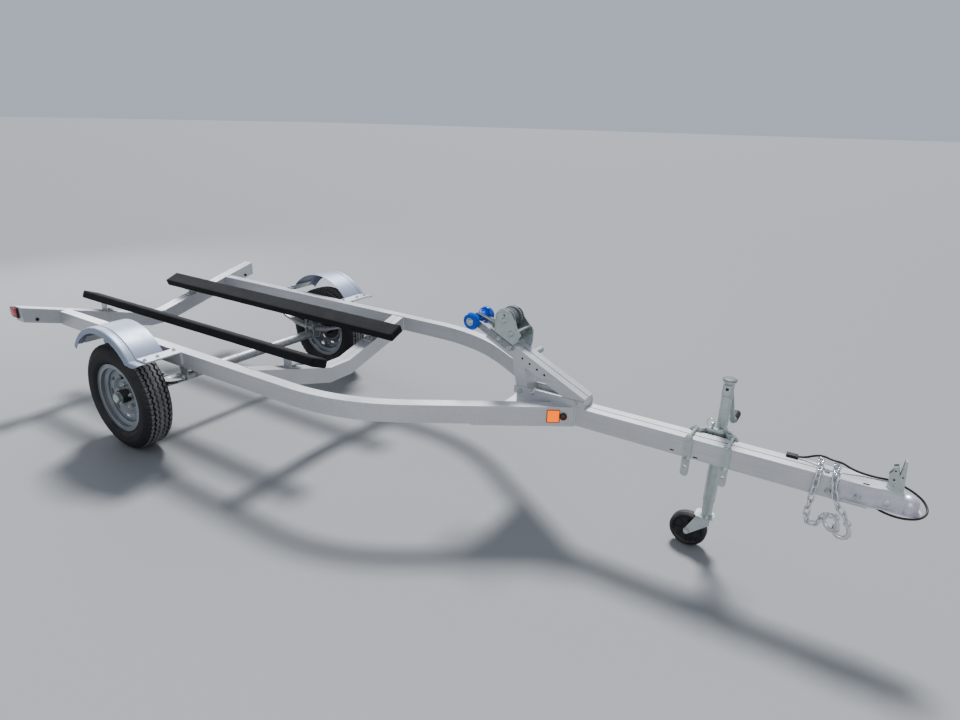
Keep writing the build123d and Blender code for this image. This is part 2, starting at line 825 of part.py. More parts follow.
def make_bunk_brackets():
    """Four short channels between the sloping cross members and the bunks."""
    tilt = math.radians(bunk_tilt)
    brackets = []
    rows = (
        (rear_member_x, rear_slope, rear_flat_half, rail_inner_y + rear_meet_inset),
        (front_member_x, front_slope, front_flat_half, rail_inner_y),
    )
    for member_x, slope_degrees, flat_half, meet_y in rows:
        slope = math.tan(math.radians(slope_degrees))
        inner = bunk_y - bunk_bracket_width / 2
        outer = bunk_y + bunk_bracket_width / 2
        foot_inner = rail_top - (meet_y - inner) * slope
        foot_outer = rail_top - (meet_y - outer) * slope
        under = bunk_z - bunk_thickness / 2 / math.cos(tilt)
        top_inner = under - bunk_bracket_width / 2 * math.tan(tilt)
        top_outer = under + bunk_bracket_width / 2 * math.tan(tilt)
        x0 = member_x + (member_depth - bunk_bracket_depth) / 2
        x1 = x0 + bunk_bracket_depth
        outline = [(inner, foot_inner), (outer, foot_outer), (outer, top_outer), (inner, top_inner)]
        body = plate_yz(outline, x0, x1)
        wall = bunk_bracket_wall
        opening = plate_yz([
            (inner - 1, foot_inner + wall), (outer - wall, foot_outer + wall),
            (outer - wall, top_outer - wall), (inner - 1, top_inner - wall),
        ], x0 - 1, x1 + 1)
        bracket = body - opening
        brackets += [bracket, mirror_y(bracket)]
    return Compound(children=brackets)


def arch(section, from_angle, to_angle):
    """Section in radius and Y swept round the fender's axis between two angles above forward."""
    swept = revolve(section, axis=Axis.Y, revolution_arc=to_angle - from_angle)
    return Pos(0, 0, fender_centre_z) * Rot(0, -to_angle, 0) * swept


def make_fender():
    """Left fender: rolled arch with a bead and a skirt, run out into a flat foot with a curled edge."""
    radius = fender_radius
    inner = fender_inner_y
    outer = fender_outer_y
    bead = outer - fender_bead_inset
    low = radius - fender_bead_depth
    narrow, wide = fender_bead_half
    lower_r = radius - fender_skirt
    line = [(radius, inner), (radius, bead - wide), (low, bead - narrow), (low, bead + narrow)]
    line += [(radius, bead + wide), (radius, outer), (lower_r, outer)]
    line = FilletPolyline(*line, radius=fender_section_radii)
    section = make_face(offset(line, amount=fender_wall, side=Side.LEFT, kind=Kind.INTERSECTION))
    foot_top = rail_top - bracket_bar_thickness
    rise = foot_top - fender_centre_z
    front_angle = math.degrees(math.asin(rise / radius))
    shell = arch(section, front_angle - fender_lap_angle, 180 - fender_rear_angle)

    foot_x = math.sqrt(radius ** 2 - rise ** 2)
    front_x = foot_x + fender_foot_length
    curl_angle = math.radians(front_angle + fender_curl_angle)

    def on_arch(r):
        return (r * math.cos(curl_angle), fender_centre_z + r * math.sin(curl_angle))

    start = on_arch(lower_r)
    above = on_arch(radius + fender_skirt)
    flat = Pos(start[0], 0, foot_top - radius) * Rot(0, -90, 0) * section
    foot = extrude(flat, amount=front_x - start[0], dir=(1, 0, 0))
    tip = (front_x, foot_top - fender_wall)
    curl = (foot_x + fender_curl_x, foot_top - fender_foot_drop)
    edge = [ThreePointArc(start, curl, tip), Line(tip, (front_x, above[1])), Line((front_x, above[1]), above)]
    trim = make_face(edge + [Line(above, start)])
    trim = Plane(origin=(0, outer, 0), x_dir=(1, 0, 0), z_dir=(0, -1, 0)) * trim
    foot = foot & extrude(trim, amount=outer - inner)
    under = low - fender_wall - fender_under_gap
    foot -= bar_y(0, fender_centre_z, under, inner, outer - fender_section_radii[-1])
    return shell + foot


def make_fender_brackets():
    """Front bars and rear curved bars that carry the fenders from the rails."""
    bar_top = rail_top
    bar_low = rail_top - bracket_bar_thickness
    rise = bar_low - fender_centre_z
    bar_x = math.sqrt(fender_radius ** 2 - rise ** 2) + bracket_bar_gap
    bar_end = bar_x + bracket_bar_width
    outer = fender_outer_y - bracket_bar_inset
    thick = bracket_bar_thickness
    side = rail_outer_y + thick
    front = block(bar_x, bar_end, rail_outer_y, outer, bar_low, bar_top)
    front += block(bar_x, bar_end, rail_outer_y, side, bar_top - bracket_flange_height, bar_top)
    under = fender_radius - fender_wall - seat_gap
    strip_end = fender_outer_y - bracket_strip_inset
    strip = [(under, rail_outer_y), (under, strip_end)]
    strip += [(under - thick, strip_end), (under - thick, rail_outer_y)]
    strip = make_face(Polyline(*strip, close=True))
    end_angle = 180 - fender_rear_angle - bracket_strip_end
    rear = arch(strip, end_angle - bracket_strip_arc, end_angle)
    middle = math.radians(fender_rear_angle + bracket_plate_angle)
    mid_x = -under * math.cos(middle)
    mid_z = fender_centre_z + under * math.sin(middle)
    behind, ahead, below, over = bracket_plate
    rear += block(mid_x + behind, mid_x + ahead, rail_outer_y, side, mid_z + below, mid_z + over)
    return Compound(children=[front, mirror_y(front), rear, mirror_y(rear)])


def make_spring():
    """Left leaf spring: three leaves curved up to an eye at each end."""
    main_low = spring_pack_bottom + (len(leaf_half_lengths) - 1) * leaf_thickness
    eye_leaf_z = spring_eye_z - spring_eye_radius + leaf_thickness / 2
    sag = eye_leaf_z - (main_low + leaf_thickness / 2)
    radius = (spring_eye_x ** 2 + sag ** 2) / (2 * sag)
    centre_z = main_low + leaf_thickness / 2 + radius
    y0 = spring_y - spring_width / 2
    y1 = spring_y + spring_width / 2
    spring = None
    for order, half in enumerate(leaf_half_lengths):
        inner = radius - leaf_thickness / 2 + order * leaf_thickness
        outer = inner + leaf_thickness

        def at(r, x):
            return (x, centre_z - math.sqrt(r ** 2 - x ** 2))

        face = make_face([
            ThreePointArc(at(inner, -half), at(inner, 0), at(inner, half)),
            Line(at(inner, half), at(outer, half)),
            ThreePointArc(at(outer, half), at(outer, 0), at(outer, -half)),
            Line(at(outer, -half), at(inner, -half)),
        ])
        upright = Plane(origin=(0, y1, 0), x_dir=(1, 0, 0), z_dir=(0, -1, 0))
        leaf = extrude(upright * face, amount=spring_width)
        spring = leaf if spring is None else spring + leaf
    for x in (-spring_eye_x, spring_eye_x):
        spring += bar_y(x, spring_eye_z, spring_eye_radius, y0, y1)
    for x in (-spring_eye_x, spring_eye_x):
        spring -= bar_y(x, spring_eye_z, spring_pin_radius + seat_gap, y0, y1)
    return spring


def make_spring_hangers():
    """Front hangers, rear hangers and rear shackles with their pins."""
    pieces = []
    half = spring_width / 2
    ear_in = half + running_gap
    ear_out = ear_in + hanger_wall
    reach = hanger_half_length
    top = rail_bottom
    front = block(spring_eye_x - reach, spring_eye_x + reach, -ear_out, ear_out, top - hanger_wall, top)
    tip_z = spring_eye_z - hanger_tip_drop
    outline = [(spring_eye_x - reach, top), (spring_eye_x - hanger_tip_half, tip_z)]
    outline += [(spring_eye_x + hanger_tip_half, tip_z), (spring_eye_x + reach, top)]
    ear = plate_xz(outline, ear_in, ear_out)
    pin_end = ear_out + pin_proud
    front += ear + mirror_y(ear) + bar_y(spring_eye_x, spring_eye_z, spring_pin_radius, -pin_end, pin_end)
    pieces.append(front)

    link_x = -spring_eye_x
    hang_x = link_x - shackle_back
    hang_z = spring_eye_z + shackle_rise
    link_out = ear_in + shackle_thickness
    ear_in = link_out + seat_gap
    ear_out = ear_in + hanger_wall
    pin_end = ear_out + pin_proud
    rear_x = hang_x - reach
    front_x = hang_x + rear_hanger_ahead
    rear = block(rear_x, front_x, -ear_out, ear_out, top - hanger_wall, top)
    tip = rear_hanger_tip
    outline = [(rear_x, top), (hang_x - tip, hang_z - tip), (hang_x + tip, hang_z - tip), (front_x, top)]
    ear = plate_xz(outline, ear_in, ear_out)
    rear += ear + mirror_y(ear)
    rear -= bar_y(hang_x, hang_z, spring_pin_radius + seat_gap, -ear_out - 1, ear_out + 1)
    pieces.append(rear)

    lean = math.degrees(math.atan2(spring_eye_z - hang_z, link_x - hang_x))
    length = math.hypot(spring_eye_z - hang_z, link_x - hang_x)
    link_in = half + running_gap
    wide = shackle_half_width
    strip = block(0, length, link_in, link_out, -wide, wide)
    strip += bar_y(0, 0, wide, link_in, link_out) + bar_y(length, 0, wide, link_in, link_out)
    link = Pos(hang_x, 0, hang_z) * Rot(0, -lean, 0) * (strip + mirror_y(strip))
    link += bar_y(hang_x, hang_z, spring_pin_radius, -pin_end, pin_end)
    link += bar_y(link_x, spring_eye_z, spring_pin_radius, -link_out, link_out)
    pieces.append(link)
    placed = []
    for piece in pieces:
        moved = Pos(0, spring_y, 0) * piece
        placed += [moved, mirror_y(moved)]
    return Compound(children=placed)


def make_spring_clamps():
    """Saddles on the axle, tie plates over the springs and the U-bolts that join them."""
    half = spring_width / 2
    pack_top = spring_pack_bottom + len(leaf_half_lengths) * leaf_thickness
    reach = saddle_half_length
    saddle = block(-reach, reach, -half, half, wheel_z + saddle_rise, spring_pack_bottom)
    saddle -= bar_y(0, wheel_z, axle_tube_radius + seat_gap, -half, half)
    bolt = ubolt_radius
    leg_x = axle_tube_radius + seat_gap + bolt
    leg_y = half + seat_gap + bolt
    plate_low = pack_top + clamp_gap
    plate_top = plate_low + hanger_wall
    plate_x = leg_x + clamp_margin
    plate_y = leg_y + clamp_margin
    clamp = block(-plate_x, plate_x, -plate_y, plate_y, plate_low, plate_top)
    circle = Plane.XY * Pos(leg_x, 0) * Circle(bolt)
    bend = Pos(0, 0, wheel_z) * revolve(circle, axis=Axis.Y, revolution_arc=180)
    nut = extrude(RegularPolygon(nut_radius, 6), amount=nut_half_height, both=True)
    for y in (-leg_y, leg_y):
        clamp += Pos(0, y, 0) * bend
        for x in (-leg_x, leg_x):
            clamp += bar_z(x, y, bolt, wheel_z, plate_top + ubolt_proud)
            clamp += Pos(x, y, plate_top + nut_half_height) * nut
    placed = []
    for piece in (saddle, clamp):
        moved = Pos(0, spring_y, 0) * piece
        placed += [moved, mirror_y(moved)]
    return Compound(children=placed)


def coupler_form(inset, low):
    """Coupler's outer form, or its inner hollow when inset by the wall."""
    half = tongue_half + seat_gap + coupler_wall - inset
    neck = coupler_neck_half - inset
    top = rail_top + coupler_wall - inset
    dome_x = coupler_nose_x - socket_radius - coupler_wall
    dome_z = low + socket_depth
    dome = socket_radius + coupler_wall - inset
    join_x = dome_x - coupler_dome_lap
    plan = [(coupler_rear_x, half), (coupler_shoulder_x, half), (coupler_neck_x, neck)]
    plan += [(join_x, neck - coupler_neck_taper)]
    plan += [(x, -y) for x, y in reversed(plan)]
    side = [(coupler_rear_x, low), (coupler_rear_x, top), (coupler_neck_x, top)]
    side += [(coupler_slope_x, top - coupler_slope_drop), (join_x, top - coupler_dome_drop), (join_x, low)]
    body = plate_xy(plan, low, top) & plate_xz(side, -half, half)
    body += bar_z(dome_x, 0, dome, low, dome_z)
    body += Pos(dome_x, 0, dome_z) * Sphere(dome)
    under = 2 * half
    return body - block(dome_x - under, dome_x + under, -under, under, low - under, low)


def make_coupler():
    """Pressed coupler over the tongue's end: channel, neck and ball dome with a turned-out lip."""
    low = coupler_side_bottom
    outer = coupler_form(0, low)
    lip_half = tongue_half + seat_gap + coupler_wall + coupler_lip
    neck = coupler_neck_half + coupler_lip
    nose = socket_radius + coupler_wall + coupler_lip
    dome_x = coupler_nose_x - socket_radius - coupler_wall
    plan = [(coupler_rear_x + coupler_lip_setback, lip_half), (coupler_shoulder_x, lip_half)]
    plan += [(coupler_neck_x, neck), (dome_x, nose)]
    plan += [(x, -y) for x, y in reversed(plan)]
    lip = plate_xy(plan, low, low + coupler_wall) + bar_z(dome_x, 0, nose, low, low + coupler_wall)
    hollow = coupler_form(coupler_wall, low)
    return outer + lip - hollow


def make_latch():
    """Lever of the coupler latch, flipped up: two shaped cheeks, a folded front and a low saddle."""
    foot = rail_top + coupler_wall + seat_gap

    def cheek(profile, y0, y1):
        return plate_xz([(coupler_slope_x + x, foot + z) for x, z in profile], y0, y1)

    side = cheek(latch_profile, latch_inner_y, latch_inner_y + latch_thickness)
    front = cheek(latch_front_profile, -latch_inner_y - 1, latch_inner_y + 1)
    return side + mirror_y(side) + front + cheek(latch_saddle_profile, -latch_saddle_half, latch_saddle_half)


def make_jack_mount():
    """Pressed hat plate and clamp plates round the tongue with the bolts that draw them together."""
    face = tongue_half
    reach = face + hat_depth + hat_thickness
    mount = plate_xy([(clamp_x + x, face + y) for x, y in hat_plan], hat_low, hat_top)
    rear = clamp_x - hat_half_length
    front = clamp_x + hat_half_length
    outline = [(rear, hat_low), (rear, hat_top - hat_corner), (rear + hat_corner, hat_top)]
    outline += [(front - hat_corner, hat_top), (front, hat_top - hat_corner), (front, hat_low)]
    mount = mount & plate_xz(outline, face, reach)
    mount += bar_y(jack_x, jack_pivot_z, pivot_boss_radius, reach - 1, reach + pivot_boss_length)
    mount += bar_y(jack_x, jack_pivot_z, pivot_pin_radius, reach - 1, reach + pivot_pin_length)
    near = -face - clamp_plate_thickness
    half = clamp_plate_width / 2
    bolt_offset = clamp_bolt_radius + seat_gap
    bolt_end = face + hat_thickness + clamp_bolt_proud
    for x in (clamp_x - clamp_spacing / 2, clamp_x + clamp_spacing / 2):
        mount += block(x - half, x + half, near, -face, clamp_plate_low + half, clamp_plate_top - half)
        for z in (clamp_plate_low + half, clamp_plate_top - half):
            mount += bar_y(x, z, half, near, -face)
        for z in (rail_top + bolt_offset, rail_bottom - bolt_offset):
            mount += bar_y(x, z, clamp_bolt_radius, near - clamp_bolt_proud, bolt_end)
        mount -= bar_y(x, clamp_spare_hole_z, clamp_bolt_radius, near - 1, -face + 1)
    return mount


def make_jack_tube():
    """Outer sleeve and post of the jack with its cap and the swivel plate that turns on the mount."""
    tube = bar_z(jack_x, jack_y, jack_sleeve_radius, jack_sleeve_bottom, jack_sleeve_top)
    tube += bar_z(jack_x, jack_y, jack_post_radius, jack_sleeve_top - 1, jack_post_top)
    tube += bar_z(jack_x, jack_y, jack_cap_radius, jack_post_top - jack_cap_thickness, jack_post_top)
    start = tongue_half + hat_depth + hat_thickness + pivot_boss_length + seat_gap
    end = start + swivel_thickness
    outline = [(jack_x + x, jack_pivot_z + z) for x, z in swivel_outline]
    plate = plate_xz(outline, start, end)
    shelf_top = jack_pivot_z + swivel_outline[1][1]
    shelf_end = end + swivel_shelf_depth
    half = swivel_shelf_half
    shelf = block(jack_x - half, jack_x + half, start, shelf_end, shelf_top - swivel_thickness, shelf_top)
    low = jack_pivot_z - swivel_web_height
    high = jack_pivot_z + swivel_web_height
    web = block(jack_x - swivel_web_half, jack_x + swivel_web_half, start, jack_y, low, high)
    body = tube + plate + shelf + web
    body -= bar_z(jack_x, jack_y, jack_bore_radius, jack_sleeve_bottom - 1, jack_sleeve_top - 3)
    pin_end = tongue_half + hat_depth + hat_thickness + pivot_pin_length + 1
    return body - bar_y(jack_x, jack_pivot_z, pivot_pin_radius + shaft_clearance, start - 1, pin_end)


def make_jack_crank():
    """Side-wind crank on the jack's head: shaft, hanging arm, collar and grip."""
    face = jack_y + jack_post_radius
    arm_y = face + jack_arm_gap
    grip_y = arm_y + jack_arm_thickness + jack_collar_length
    half = jack_arm_width / 2
    arm = block(-half, half, arm_y, arm_y + jack_arm_thickness, -jack_arm_length, 0)
    arm += bar_y(0, 0, half, arm_y, arm_y + jack_arm_thickness)
    arm += bar_y(0, -jack_arm_length, jack_collar_radius, arm_y, grip_y)
    arm += bar_y(0, -jack_arm_length, jack_grip_radius, grip_y, grip_y + jack_grip_length)
    near = jack_y - jack_post_radius - shaft_proud
    crank = bar_y(jack_x, jack_shaft_z, jack_shaft_radius, near, arm_y + 1)
    crank += Pos(jack_x, 0, jack_shaft_z) * Rot(0, -jack_arm_lean, 0) * arm
    reach = jack_post_radius
    return crank - bar_z(jack_x, jack_y, jack_post_radius, jack_shaft_z - reach, jack_shaft_z + reach)


def make_jack_ram():
    """Inner ram of the jack with a socket for the caster's stem."""
    low = crown_top + 1
    ram = bar_z(jack_x, jack_y, jack_bore_radius - ram_clearance, low, jack_ram_top)
    return ram - bar_z(jack_x, jack_y, stem_radius + shaft_clearance, low - 1, low + stem_length + 1)


def make_caster_fork():
    """Fork under the ram: stem, crown plate with cut corners and two raked arms."""
    inner = caster_wheel_width / 2 + caster_side_gap
    outer = inner + caster_fork_wall
    crown_low = crown_top - crown_thickness
    half = crown_half_width
    cut = crown_corner
    plan = [(-crown_rear, half - cut), (-crown_rear + cut, half), (crown_front - cut, half)]
    plan += [(crown_front, half - cut)]
    plan += [(x, -y) for x, y in reversed(plan)]
    crown = plate_xy(plan, crown_low, crown_top)
    end = fork_end_radius
    axle_z = caster_wheel_radius
    outline = [(-crown_rear + cut, crown_low + 1), (crown_front - cut, crown_low + 1)]
    ahead, below = fork_end_cut
    outline += [(crown_front - cut, crown_low - fork_front_drop), (ahead - caster_trail, axle_z - below)]
    outline += [(-caster_trail - end, axle_z)]
    arm = plate_xz(outline, inner, outer) + bar_y(-caster_trail, axle_z, end, inner, outer)
    axle_end = outer + caster_axle_proud
    fork = crown + arm + mirror_y(arm) + bar_z(0, 0, stem_radius, crown_low, crown_top + stem_length)
    fork += bar_y(-caster_trail, axle_z, caster_axle_radius, -axle_end, axle_end)
    return Pos(jack_x, jack_y, 0) * fork


def make_caster_wheel():
    """Moulded caster wheel with a rounded tread and a hub."""
    half = caster_wheel_width / 2
    radius = caster_wheel_radius
    bore = caster_axle_radius + shaft_clearance
    side = [(bore, half)] + [(r, half - inset) for r, inset in caster_hub_profile]
    side += [(radius - drop, half - inset) for drop, inset in caster_rim_profile]
    wheel = turned([(r, -y) for r, y in side] + list(reversed(side)))
    return Pos(jack_x - caster_trail, jack_y, radius) * wheel


def member_end_z(y):
    """Height of the rear cross member's top at y."""
    return rail_top + (y - rail_inner_y - rear_meet_inset) * math.tan(math.radians(rear_slope))


def make_tail_lamp():
    """Left tail lamp on the end of the rear cross member."""
    end = rear_member_half_width
    low = member_end_z(end) - lamp_drop
    top = low + lamp_height
    outer = end + lamp_wrap
    rear = rear_member_x - lamp_depth
    lamp = block(rear, rear_member_x, end - lamp_width, outer, low, top)
    return lamp + block(rear, rear_member_x + lamp_side_length, end + seat_gap, outer, low, top)


def make_side_lights():
    """Reflectors and round marker lights on the outer faces of the rails' front ends."""
    lights = []
    slope = math.radians(rail_angle)
    reflector = Box(reflector_width, reflector_thickness, reflector_height)
    marker = Rot(90, 0, 0) * Cylinder(marker_radius, marker_thickness)
    rows = ((reflector_along, reflector_thickness, reflector), (marker_along, marker_thickness, marker))
    for along, thickness, shape in rows:
        x = rail_bend_x + along * math.cos(slope)
        y = rail_outer_y - along * math.sin(slope)
        place = Pos(x, y, (rail_top + rail_bottom) / 2) * Rot(0, 0, -rail_angle)
        light = place * Pos(0, thickness / 2, 0) * shape
        lights += [light, mirror_y(light)]
    return Compound(children=lights)


def link_outline(length, width):
    """Outline of a rounded loop lying along X, as short straight runs."""
    radius = width / 2
    reach = length / 2 - radius
    points = []
    for sign in (1, -1):
        for step in range(link_bend_steps + 1):
            angle = math.radians(-90 + 180 * step / link_bend_steps)
            points.append((sign * (reach + radius * math.cos(angle)), sign * radius * math.sin(angle)))
    return points


def make_link():
    """One chain link lying flat along X."""
    half = link_wire / 2
    outer = plate_xy(link_outline(link_length, link_width), -half, half)
    inner = plate_xy(link_outline(link_length - 2 * link_wire, link_width - 2 * link_wire), -half, half)
    return outer - inner


def make_hook():
    """Forged slip hook, flat, with the centre of its eye at the origin and its bowl toward X."""
    half = hook_thickness / 2
    outline = [(x * hook_scale, y * hook_scale) for x, y in hook_outline]
    return plate_xy(outline, -half, half) - Cylinder(hook_eye_radius, hook_thickness + 2)


def chain_joints(path):
    """Places one link pitch apart along a chain's path, with the direction away from the tongue."""
    fine = []
    for start, end in zip(path, path[1:]):
        for step in range(20):
            t = step / 20
            fine.append([a + (b - a) * t for a, b in zip(start, end)])
    fine.append(list(path[-1]))
    joints = [fine[0]]
    for point in fine:
        if math.dist(point[:3], joints[-1][:3]) >= link_pitch:
            joints.append(point)
    return joints


def make_chain(path):
    """Safety chain: a bolt in the tongue's left face, a row of links and a hook."""
    joints = chain_joints(path)
    count = len(joints) - 1
    link = make_link()
    pieces = []
    for index in range(count):
        start = Vector(*joints[index][:3])
        end = Vector(*joints[index + 1][:3])
        along = (end - start).normalized()
        away = Vector(*joints[index][3:]) + Vector(*joints[index + 1][3:])
        away = (away - along * away.dot(along)).normalized()
        roll = chain_twist * (1 - (index / count) ** 2) + 90 * (count - index)
        place = Plane(origin=(start + end) * 0.5, x_dir=along, z_dir=away).location
        pieces.append(place * Rot(roll, 0, 0) * link)
    eye = end + along * (link_pitch / 2 - hook_reach)
    pieces.append(Plane(origin=eye, x_dir=(0, 0, -1), z_dir=away).location * make_hook())
    first = joints[0]
    bolt_end = first[1] - chain_bolt_rise
    bolt = bar_y(first[0], first[2] + chain_bolt_rise, chain_bolt_radius, tongue_half, bolt_end)
    pieces[0] = pieces[0] + bolt
    return Compound(children=pieces)


def rounded_route(points):
    """Straight runs joined by arcs sized from the shorter run at each corner."""
    radii = []
    for before, corner, after in zip(points, points[1:], points[2:]):
        into = Vector(*corner) - Vector(*before)
        out = Vector(*after) - Vector(*corner)
        turn = into.get_angle(out)
        radii.append(0.45 * min(into.length, out.length) / math.tan(math.radians(turn / 2)))
    print("cord radii:", " ".join(f"{radius:.1f}" for radius in radii))
    return FilletPolyline(*points, radius=radii)


def make_cord():
    """Wiring cord from the tongue's open end round the coupler to the plug."""
    route = rounded_route(cord_route)
    start = Plane(origin=route @ 0, z_dir=route % 0)
    cord = sweep(start * Circle(cord_radius), path=route)
    print(f"cord length: {route.length:.1f}")
    print(f"cord volume: {cord.volume:.1f} of {math.pi * cord_radius ** 2 * route.length:.1f}")
    return cord


def make_plug():
    """Flat four-way plug at the end of the cord, resting on the tongue."""
    x, y, z = cord_route[-1]
    low = rail_top + seat_gap
    rear = x - plug_gap
    body = block(rear - plug_length, rear, y - plug_width / 2, y + plug_width / 2, low, low + plug_height)
    return fillet(body.edges().filter_by(Axis.X), plug_round)


far_away = (0, 1, 0)
above = (0, 0, 1)
near_away = (0, -1, 0)
chain_paths = {
    "safety_chain_rear": [
        (2905, 49.8, 462, *far_away), (2905, 54.5, 508, *far_away), (2906, 54.5, 528, 0, 1, 1),
        (2907, 38, 534.5, *above), (2908, 20, 531, *above), (2910, -20, 531, *above),
        (2910, -38, 534, *above), (2910, -53, 526, 0, -1, 1), (2910, -53, 504, *near_away),
        (2906, -52, 440, *near_away), (2902, -52, 372, *near_away), (2904, -52, 350, *near_away),
        (2914, -53, 335, *near_away), (2930, -55, 337, *near_away), (2940, -58, 352, *near_away),
        (2950, -61, 380, *near_away), (2960, -65, 400, *near_away), (2972, -71, 408, *near_away),
        (2982, -76, 398, *near_away),
    ],
    "safety_chain_front": [
        (2955, 49.8, 462, *far_away), (2955, 54.5, 508, *far_away), (2955, 54.5, 528, 0, 1, 1),
        (2955, 38, 534.5, *above), (2955, 20, 531, *above), (2956, -20, 531, *above),
        (2957, -38, 534, *above), (2958, -53, 526, 0, -1, 1), (2959, -53, 504, *near_away),
        (2966, -55, 470, *near_away), (2977, -58, 440, *near_away), (2994, -60, 418, *near_away),
        (3010, -60, 405, *near_away), (3018, -59, 390, *near_away), (3018, -58, 368, *near_away),
    ],
}
cord_route = [
    (3030, -8, 459), (3062, -14, 451), (3094, -34, 444.5), (3127, -46, 444.5), (3162, -46.5, 446),
    (3200, -30, 451), (3220, 9, 460), (3207, 44, 476), (3174, 54, 494), (3138, 45, 511),
    (3105, 31, 525.5), (3068, 24, 525), (3030, 21, 527), (2995, 15, 536), (2966, 14, 550),
    (2936, 20, 547), (2910, 28, 551), (2884, 32, 540), (2862, 34, 525), (2840, 34, 521.3),
]

nodes = {
    "axle": make_axle(),
    "rail_left": make_rail(),
    "rail_right": mirror_y(make_rail()),
    "cross_member_rear": make_cross_member(
        rear_member_x, rear_member_half_width, rail_inner_y + rear_meet_inset, rear_slope, rear_flat_half),
    "cross_member_front": make_cross_member(
        front_member_x, rail_inner_y, rail_inner_y, front_slope, front_flat_half),
    "tongue": make_tongue(),
    "tongue_gusset": make_gusset(),
    "mast": make_mast(),
    "mast_strut": make_strut(),
    "mast_base": make_mast_base(),
    "roller_bracket": make_roller_bracket(),
    "bow_roller": make_bow_roller(),
    "winch_frame": make_winch_frame(),
    "winch_drum": make_winch_drum(),
    "winch_strap_roll": make_strap_roll(),
    "winch_strap": make_winch_strap(),
    "winch_crank": make_winch_crank(),
    "bunk_left": make_bunk(),
    "bunk_right": mirror_y(make_bunk()),
    "bunk_brackets": make_bunk_brackets(),
    "fender_left": make_fender(),
    "fender_right": mirror_y(make_fender()),
    "fender_brackets": make_fender_brackets(),
    "leaf_spring_left": make_spring(),
    "leaf_spring_right": mirror_y(make_spring()),
    "spring_hangers": make_spring_hangers(),
    "spring_clamps": make_spring_clamps(),
    "coupler": make_coupler(),
    "coupler_latch": make_latch(),
    "jack_mount": make_jack_mount(),
    "jack_tube": make_jack_tube(),
    "jack_crank": make_jack_crank(),
    "jack_ram": make_jack_ram(),
    "caster_fork": make_caster_fork(),
    "caster_wheel": make_caster_wheel(),
    "tail_lamp_left": make_tail_lamp(),
    "tail_lamp_right": mirror_y(make_tail_lamp()),
    "side_lights": make_side_lights(),
    "wiring_cord": make_cord(),
    "wiring_plug": make_plug(),
}
for side in ("left", "right"):
    nodes.update(make_wheel_pieces(side))
for name, path in chain_paths.items():
    nodes[name] = make_chain(path)

boxes = [shape.bounding_box() for name, shape in nodes.items() if not name.startswith("wiring")]
middle_x = (min(box.min.X for box in boxes) + max(box.max.X for box in boxes)) / 2
print(f"middle of the length: {middle_x:.2f} ahead of the axle")
os.makedirs("parts", exist_ok=True)
for name, shape in nodes.items():
    export_step(Pos(-middle_x, 0, 0) * shape, f"parts/{name}.step")
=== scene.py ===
import bpy, bmesh
import numpy
from math import sin, cos, tan, pi, radians, atan2, acos, hypot
from mathutils import Vector, Matrix, noise


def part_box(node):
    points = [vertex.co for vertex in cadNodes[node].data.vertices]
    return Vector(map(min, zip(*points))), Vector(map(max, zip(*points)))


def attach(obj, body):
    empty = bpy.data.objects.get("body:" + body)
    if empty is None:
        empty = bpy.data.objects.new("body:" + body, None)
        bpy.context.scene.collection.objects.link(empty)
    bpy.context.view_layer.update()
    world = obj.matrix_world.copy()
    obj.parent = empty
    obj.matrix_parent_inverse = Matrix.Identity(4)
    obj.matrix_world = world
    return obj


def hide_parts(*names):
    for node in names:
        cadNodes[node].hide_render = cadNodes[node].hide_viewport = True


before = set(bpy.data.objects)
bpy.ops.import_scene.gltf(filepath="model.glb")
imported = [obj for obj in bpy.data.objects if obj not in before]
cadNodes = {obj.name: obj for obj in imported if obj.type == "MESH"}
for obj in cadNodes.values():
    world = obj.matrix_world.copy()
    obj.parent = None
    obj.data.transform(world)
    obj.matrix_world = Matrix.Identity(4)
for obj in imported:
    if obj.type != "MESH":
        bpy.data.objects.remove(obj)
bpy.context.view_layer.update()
axleX = -1.086  # the axle's place in the frame, in metres
left, right, up, front = (0, 1, 0), (0, -1, 0), (0, 0, 1), (1, 0, 0)
print("frame loaded:", len(cadNodes), "nodes")


def fromAxle(x, y, z):
    # millimetres forward of the axle, to the left and above the floor, as metres of the frame
    return Vector((axleX + x / 1000, y / 1000, z / 1000))


def show(name, data):
    piece = bpy.data.objects.new(name, data)
    bpy.context.scene.collection.objects.link(piece)
    return piece


# camera and light
photoView = {
    "place": (1.8454, -2.1307, 1.5478),
    "right": (0.840955, 0.540554, 0.024419),
    "up": (-0.210213, 0.284784, 0.935259),
    "back": (0.498603, -0.791644, 0.353122),
    "lens": 23.708, "sensor": 36.0, "clip": (0.05, 200),
}
camData = bpy.data.cameras.new("photoCamera")
camData.lens = photoView["lens"]
camData.sensor_width = photoView["sensor"]
camData.sensor_fit = "HORIZONTAL"
camData.clip_start, camData.clip_end = photoView["clip"]
cam = show("photoCamera", camData)
turn = Matrix((photoView["right"], photoView["up"], photoView["back"])).transposed()
cam.matrix_world = Matrix.Translation(photoView["place"]) @ turn.to_4x4()
bpy.context.scene.camera = cam

